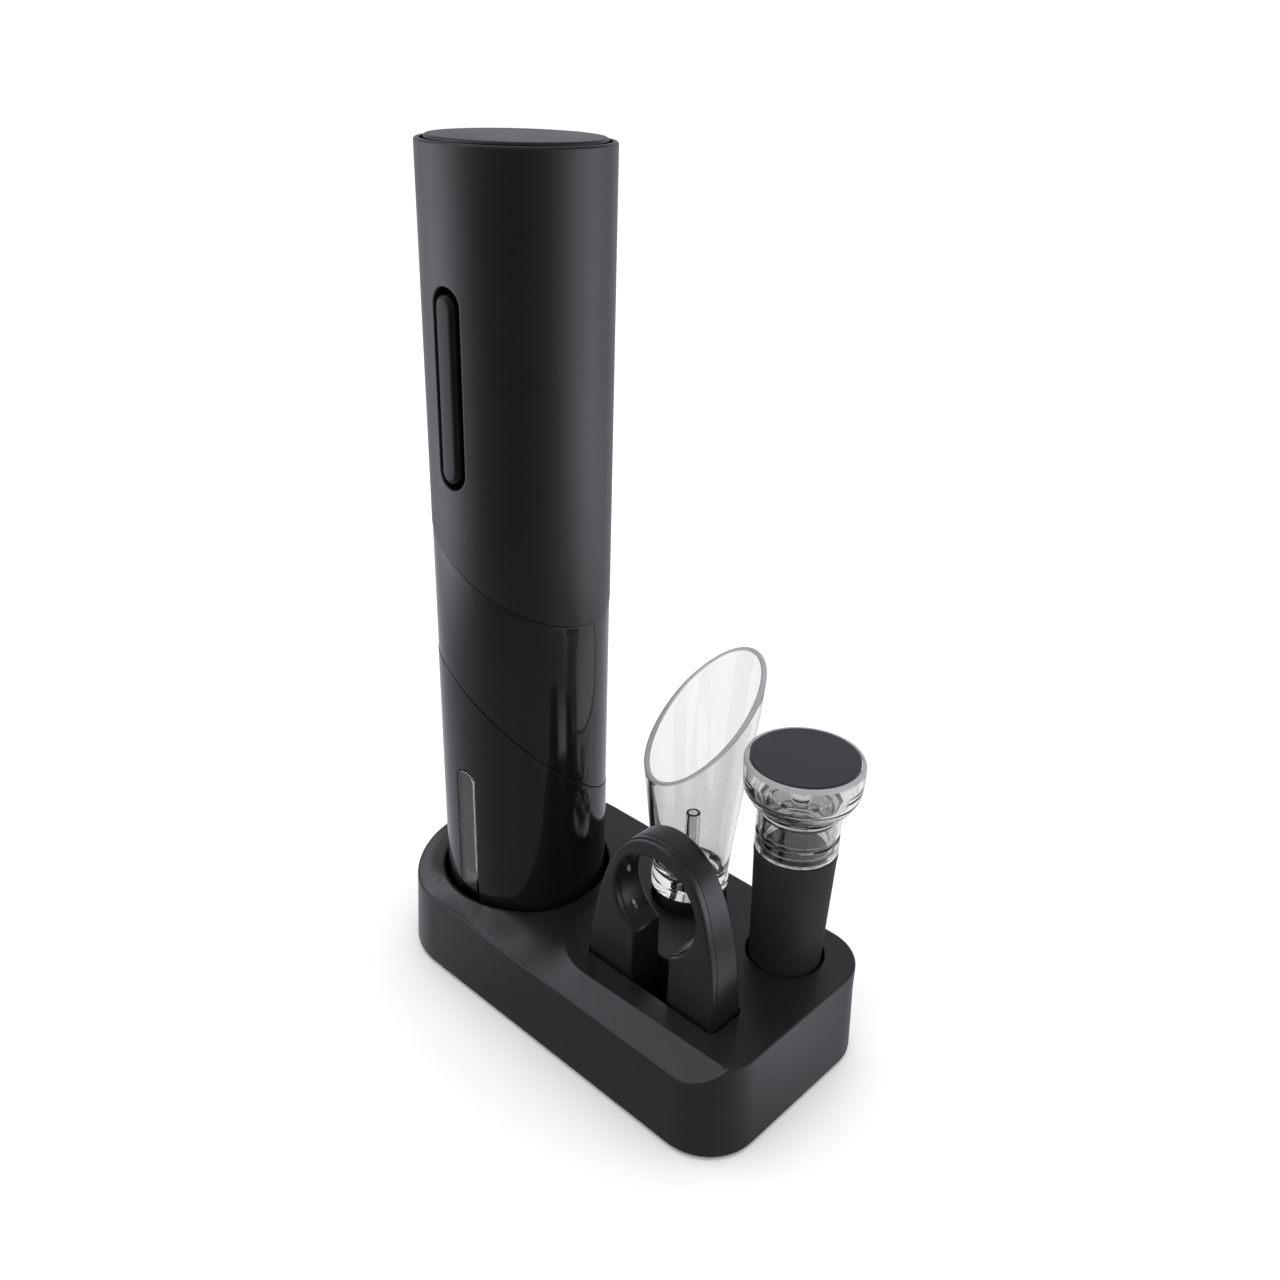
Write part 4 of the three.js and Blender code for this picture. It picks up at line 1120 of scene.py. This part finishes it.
# ---- Vacuum stopper -------------------------------------------------------------------------------
def stopper():
    def part(name, node, profile, material, body, slot, closed=False, sides=112):
        return turned(name, node, profile, material, body, slot, STOPPER, sides, closed, 5)

    h = height_mm("stopper_knob")
    rim = h + 0.6
    knob = [(0, 0, 0), (11.4, 0, 0.8), (14.6, 1.8, 3.0), (16.3, 5.2, 4.0), (16.6, 9.5, 3.0),
            (16.6, rim - 1.0, 0.5), (16.2, rim, 0.4), (15.35, rim, 0.2), (15.3, 9.0, 2.5), (14.6, 4.8, 2.5),
            (11.8, 1.7, 1.5), (8.6, 1.7, 0.2), (8.4, 2.7, 0.3), (3.4, 2.7, 0.2), (3.3, 4.5, 0.3),
            (0, 4.5, 0)]
    bowl = part("knob_bowl", "stopper_knob", knob, CLEAR, "pump", "clear_plastic")
    bowl.data.materials.append(GROUND_RIM)
    rim_z = box_mm("stopper_knob")[1].z - 0.5
    for face in bowl.data.polygons:
        if face.center.z / MM > rim_z:
            face.material_index = 1
    h = height_mm("stopper_cap_disc")
    disc = [(0, 0, 0), (14.6, 0, 0.2), (15.1, 0.3, 0.2), (15.1, h - 0.05, 0.45), (0, h, 0)]
    part("knob_disc", "stopper_cap_disc", disc, DISC_BLACK, "pump", "gloss_black")
    h = height_mm("stopper_neck")
    neck = [(9.2, 0, 0.2), (11.6, 0, 0.2), (11.8, 0.4, 0.2), (11.8, 5.0, 0.3), (11.3, 5.5, 0.2),
            (11.3, 6.5, 0.2), (11.8, 7.0, 0.3), (11.8, h, 0.5), (3, h, 0.2), (3, h - 1.2, 0.2),
            (10.9, h - 1.2, 0.5), (10.9, 2.2, 0.4), (10.1, 2.2, 0.3), (10.1, h - 3.0, 0.3),
            (9.2, h - 3.0, 0.3)]
    part("neck_barrel", "stopper_neck", neck, CLEAR, "stopper", "clear_plastic", True)
    h = height_mm("pump_rod")
    rod = [(0, 0, 0), (2.3, 0, 0.3), (2.3, h, 0.2), (0, h, 0)]
    part("pump_stem", "pump_rod", rod, CLEAR, "pump", "clear_plastic", sides=48)
    seal = [(2.6, 1, 0.2), (8.7, 0, 0.3), (8.85, 2, 0.4), (7, 4, 0.5), (2.6, 5, 0.2)]
    part("pump_cup", "pump_seal", seal, RUBBER, "pump", "black_rubber", True, 72)
    h = height_mm("stopper_sleeve")
    sleeve = [(8.6, 0, 0.5), (10, 0.9, 0.8), (10.4, 12, 5), (10.8, 31.2, 8), (11.7, h - 2.2, 0.5),
              (11.85, h - 1.6, 0.3), (11.85, h, 0.4), (9.6, h, 0.3), (9.6, 15.7, 0.5), (6, 13.7, 0.5),
              (3, 7.7, 0.5), (3, 0, 0.3)]
    part("stem_sleeve", "stopper_sleeve", sleeve, RUBBER, "stopper", "black_rubber", True)
    valve = [(0, 0, 0), (2.6, 0, 0.3), (2.6, 6.7, 0.3), (5, 12.3, 0.3), (5, 13.3, 0.4), (0, 13.9, 0)]
    part("valve_plug", "check_valve", valve, RUBBER, "stopper", "black_rubber", sides=48)


# ---- Stage: floor, lights and camera --------------------------------------------------------------
SHELL_REACH = 2.0  # metres, as the next three are
SHELL_DROP = -0.004
FLOOR_REACH = 30.0
BRIGHT_SPOT = (0.125, 0.025)
BACK_HEADING = 132.0  # degrees: the heading from the camera through the opener
COOL_WHITE = (0.965, 0.965, 1.05)
WORLD_STRENGTH = 1.17


def floor():
    surface = Surface("pale_floor")
    surface.tint(surface.noise(3, 2), (0.86, 0.86, 0.86), (0.89, 0.89, 0.89))
    surface.fix(Roughness=0.9, Specular_IOR_Level=0.0)
    reach = FLOOR_REACH
    corners = [(-reach, -reach, 0), (reach, -reach, 0), (reach, reach, 0), (-reach, reach, 0)]
    plane = linked_mesh("pale_floor", corners, [(0, 1, 2, 3)], surface.material)
    plane.visible_glossy = False


def lobe(value, centre, spread):
    return math.exp(-(((value - centre) / spread) ** 2))


def glow_at(x, y, z):
    """Brightness of the studio shell: two bright sides, a dim back and a dark front. Headings are in degrees
    from the back, distances in metres."""
    dx = x - OPENER.x * MM
    dy = y - OPENER.y * MM
    reach = math.hypot(dx, dy)
    away = math.degrees(math.atan2(dy, dx)) - BACK_HEADING
    away = (away + 180) % 360 - 180
    turn = abs(away)
    rise = math.degrees(math.atan2(z, reach + 1e-6))
    back = 1 - smooth(turn, 25, 60)
    far = 0.06 + 2.1 * lobe(turn, 88, 34) + 0.5 * back
    high = 0.28 + 0.2 * back + 1.35 * lobe(away, 96, 27)
    far += (high - far) * smooth(rise, 8, 24)
    start = 20 if away > 0 else 60
    near = 0.22 + 0.42 * smooth(180 - turn, start, 110)
    near += 1.1 * lobe(math.hypot(x - BRIGHT_SPOT[0], y - BRIGHT_SPOT[1]), 0, 0.04)
    return near + (far - near) * smooth(reach, 0.22, 0.44)


def reflection_shell():
    """A floor card and a dome that only reflections see, so that dark gloss has soft bright edges."""
    surface = Surface("studio_shell")
    values = surface.nodes.new("ShaderNodeVertexColor")
    values.layer_name = "glow"
    emission = surface.nodes.new("ShaderNodeEmission")
    emission.inputs["Strength"].default_value = 1.0
    surface.links.new(values.outputs["Color"], emission.inputs["Color"])
    output = surface.nodes["Material Output"]
    surface.links.new(emission.outputs["Emission"], output.inputs["Surface"])
    sectors = 96
    card_rings = 40
    levels = [(SHELL_REACH * (k / card_rings) ** 2, SHELL_DROP) for k in range(1, card_rings + 1)]
    for rise in (math.radians(3 * k) for k in range(1, 30)):
        levels.append((SHELL_REACH * math.cos(rise), SHELL_REACH * math.sin(rise)))
    points = []
    for radius, z in levels:
        points.extend((x, y, z) for x, y in circle(0, 0, radius, sectors))
    faces = []
    for k in range(len(levels) - 1):
        ring = [k * sectors + i for i in range(sectors)]
        bridge(faces, ring, [i + sectors for i in ring])
    faces.append(list(range(sectors)))
    faces.append([(len(levels) - 1) * sectors + i for i in range(sectors)])
    card = linked_mesh("studio_shell", points, faces, surface.material)
    glow = card.data.color_attributes.new("glow", "FLOAT_COLOR", "POINT")
    for value, point in zip(glow.data, points):
        here = glow_at(*point)
        value.color = (*(here * tone for tone in COOL_WHITE), 1)
    card.visible_camera = False
    card.visible_diffuse = False
    card.visible_transmission = False
    card.visible_shadow = False


def softbox(name, place, target, width, height, power):
    light = bpy.data.lights.new(name, "AREA")
    light.shape = "RECTANGLE"
    light.size = width
    light.size_y = height
    light.energy = power
    holder = linked(name, light)
    holder.location = place
    direction = Vector(target) - Vector(place)
    holder.rotation_euler = direction.to_track_quat("-Z", "Y").to_euler()
    holder.visible_camera = False
    holder.visible_glossy = False


def world_light():
    world = bpy.data.worlds.new("studio")
    world.use_nodes = True
    background = world.node_tree.nodes["Background"]
    background.inputs["Color"].default_value = (1.0, 1.0, 1.0, 1)
    background.inputs["Strength"].default_value = WORLD_STRENGTH
    world.cycles_visibility.glossy = False
    bpy.context.scene.world = world


LENS_MM = 33.89
CAMERA_FROM_OPENER = Vector((239.82, -210.31, 270.28))  # millimetres from the opener's axis at the floor
CAMERA_TURN = (-0.7436, -0.4646, 0.0335)  # yaw, pitch and roll in radians


def camera():
    data = bpy.data.cameras.new("photo_view")
    data.sensor_width = 36.0
    data.lens = LENS_MM
    holder = linked("photo_view", data)
    yaw, pitch, roll = CAMERA_TURN
    forward = Vector((math.cos(pitch) * math.sin(yaw), math.cos(pitch) * math.cos(yaw), math.sin(pitch)))
    right = forward.cross(Vector((0, 0, 1))).normalized()
    up = right.cross(forward)
    turned_right = right * math.cos(roll) + up * math.sin(roll)
    turned_up = up * math.cos(roll) - right * math.sin(roll)
    rotation = Matrix((turned_right, turned_up, -forward)).transposed()
    place = (Vector((OPENER.x, OPENER.y, 0)) + CAMERA_FROM_OPENER) * MM
    holder.matrix_world = Matrix.Translation(place) @ rotation.to_4x4()
    bpy.context.scene.camera = holder


base_piece()
base_underside()
lower_shell()
band_shell()
upper_shell()
top_cap()
rocker()
window()
corkscrew()
bottle_collar()
cells_and_motor()
repaint_insides()
cutter()
pourer()
stopper()
floor()
reflection_shell()
softbox("overhead", (0.0, 0.1, 1.6), (0, 0, 0.1), width=1.8, height=1.8, power=9)
world_light()
camera()

bpy.context.scene.view_settings.view_transform = "Standard"
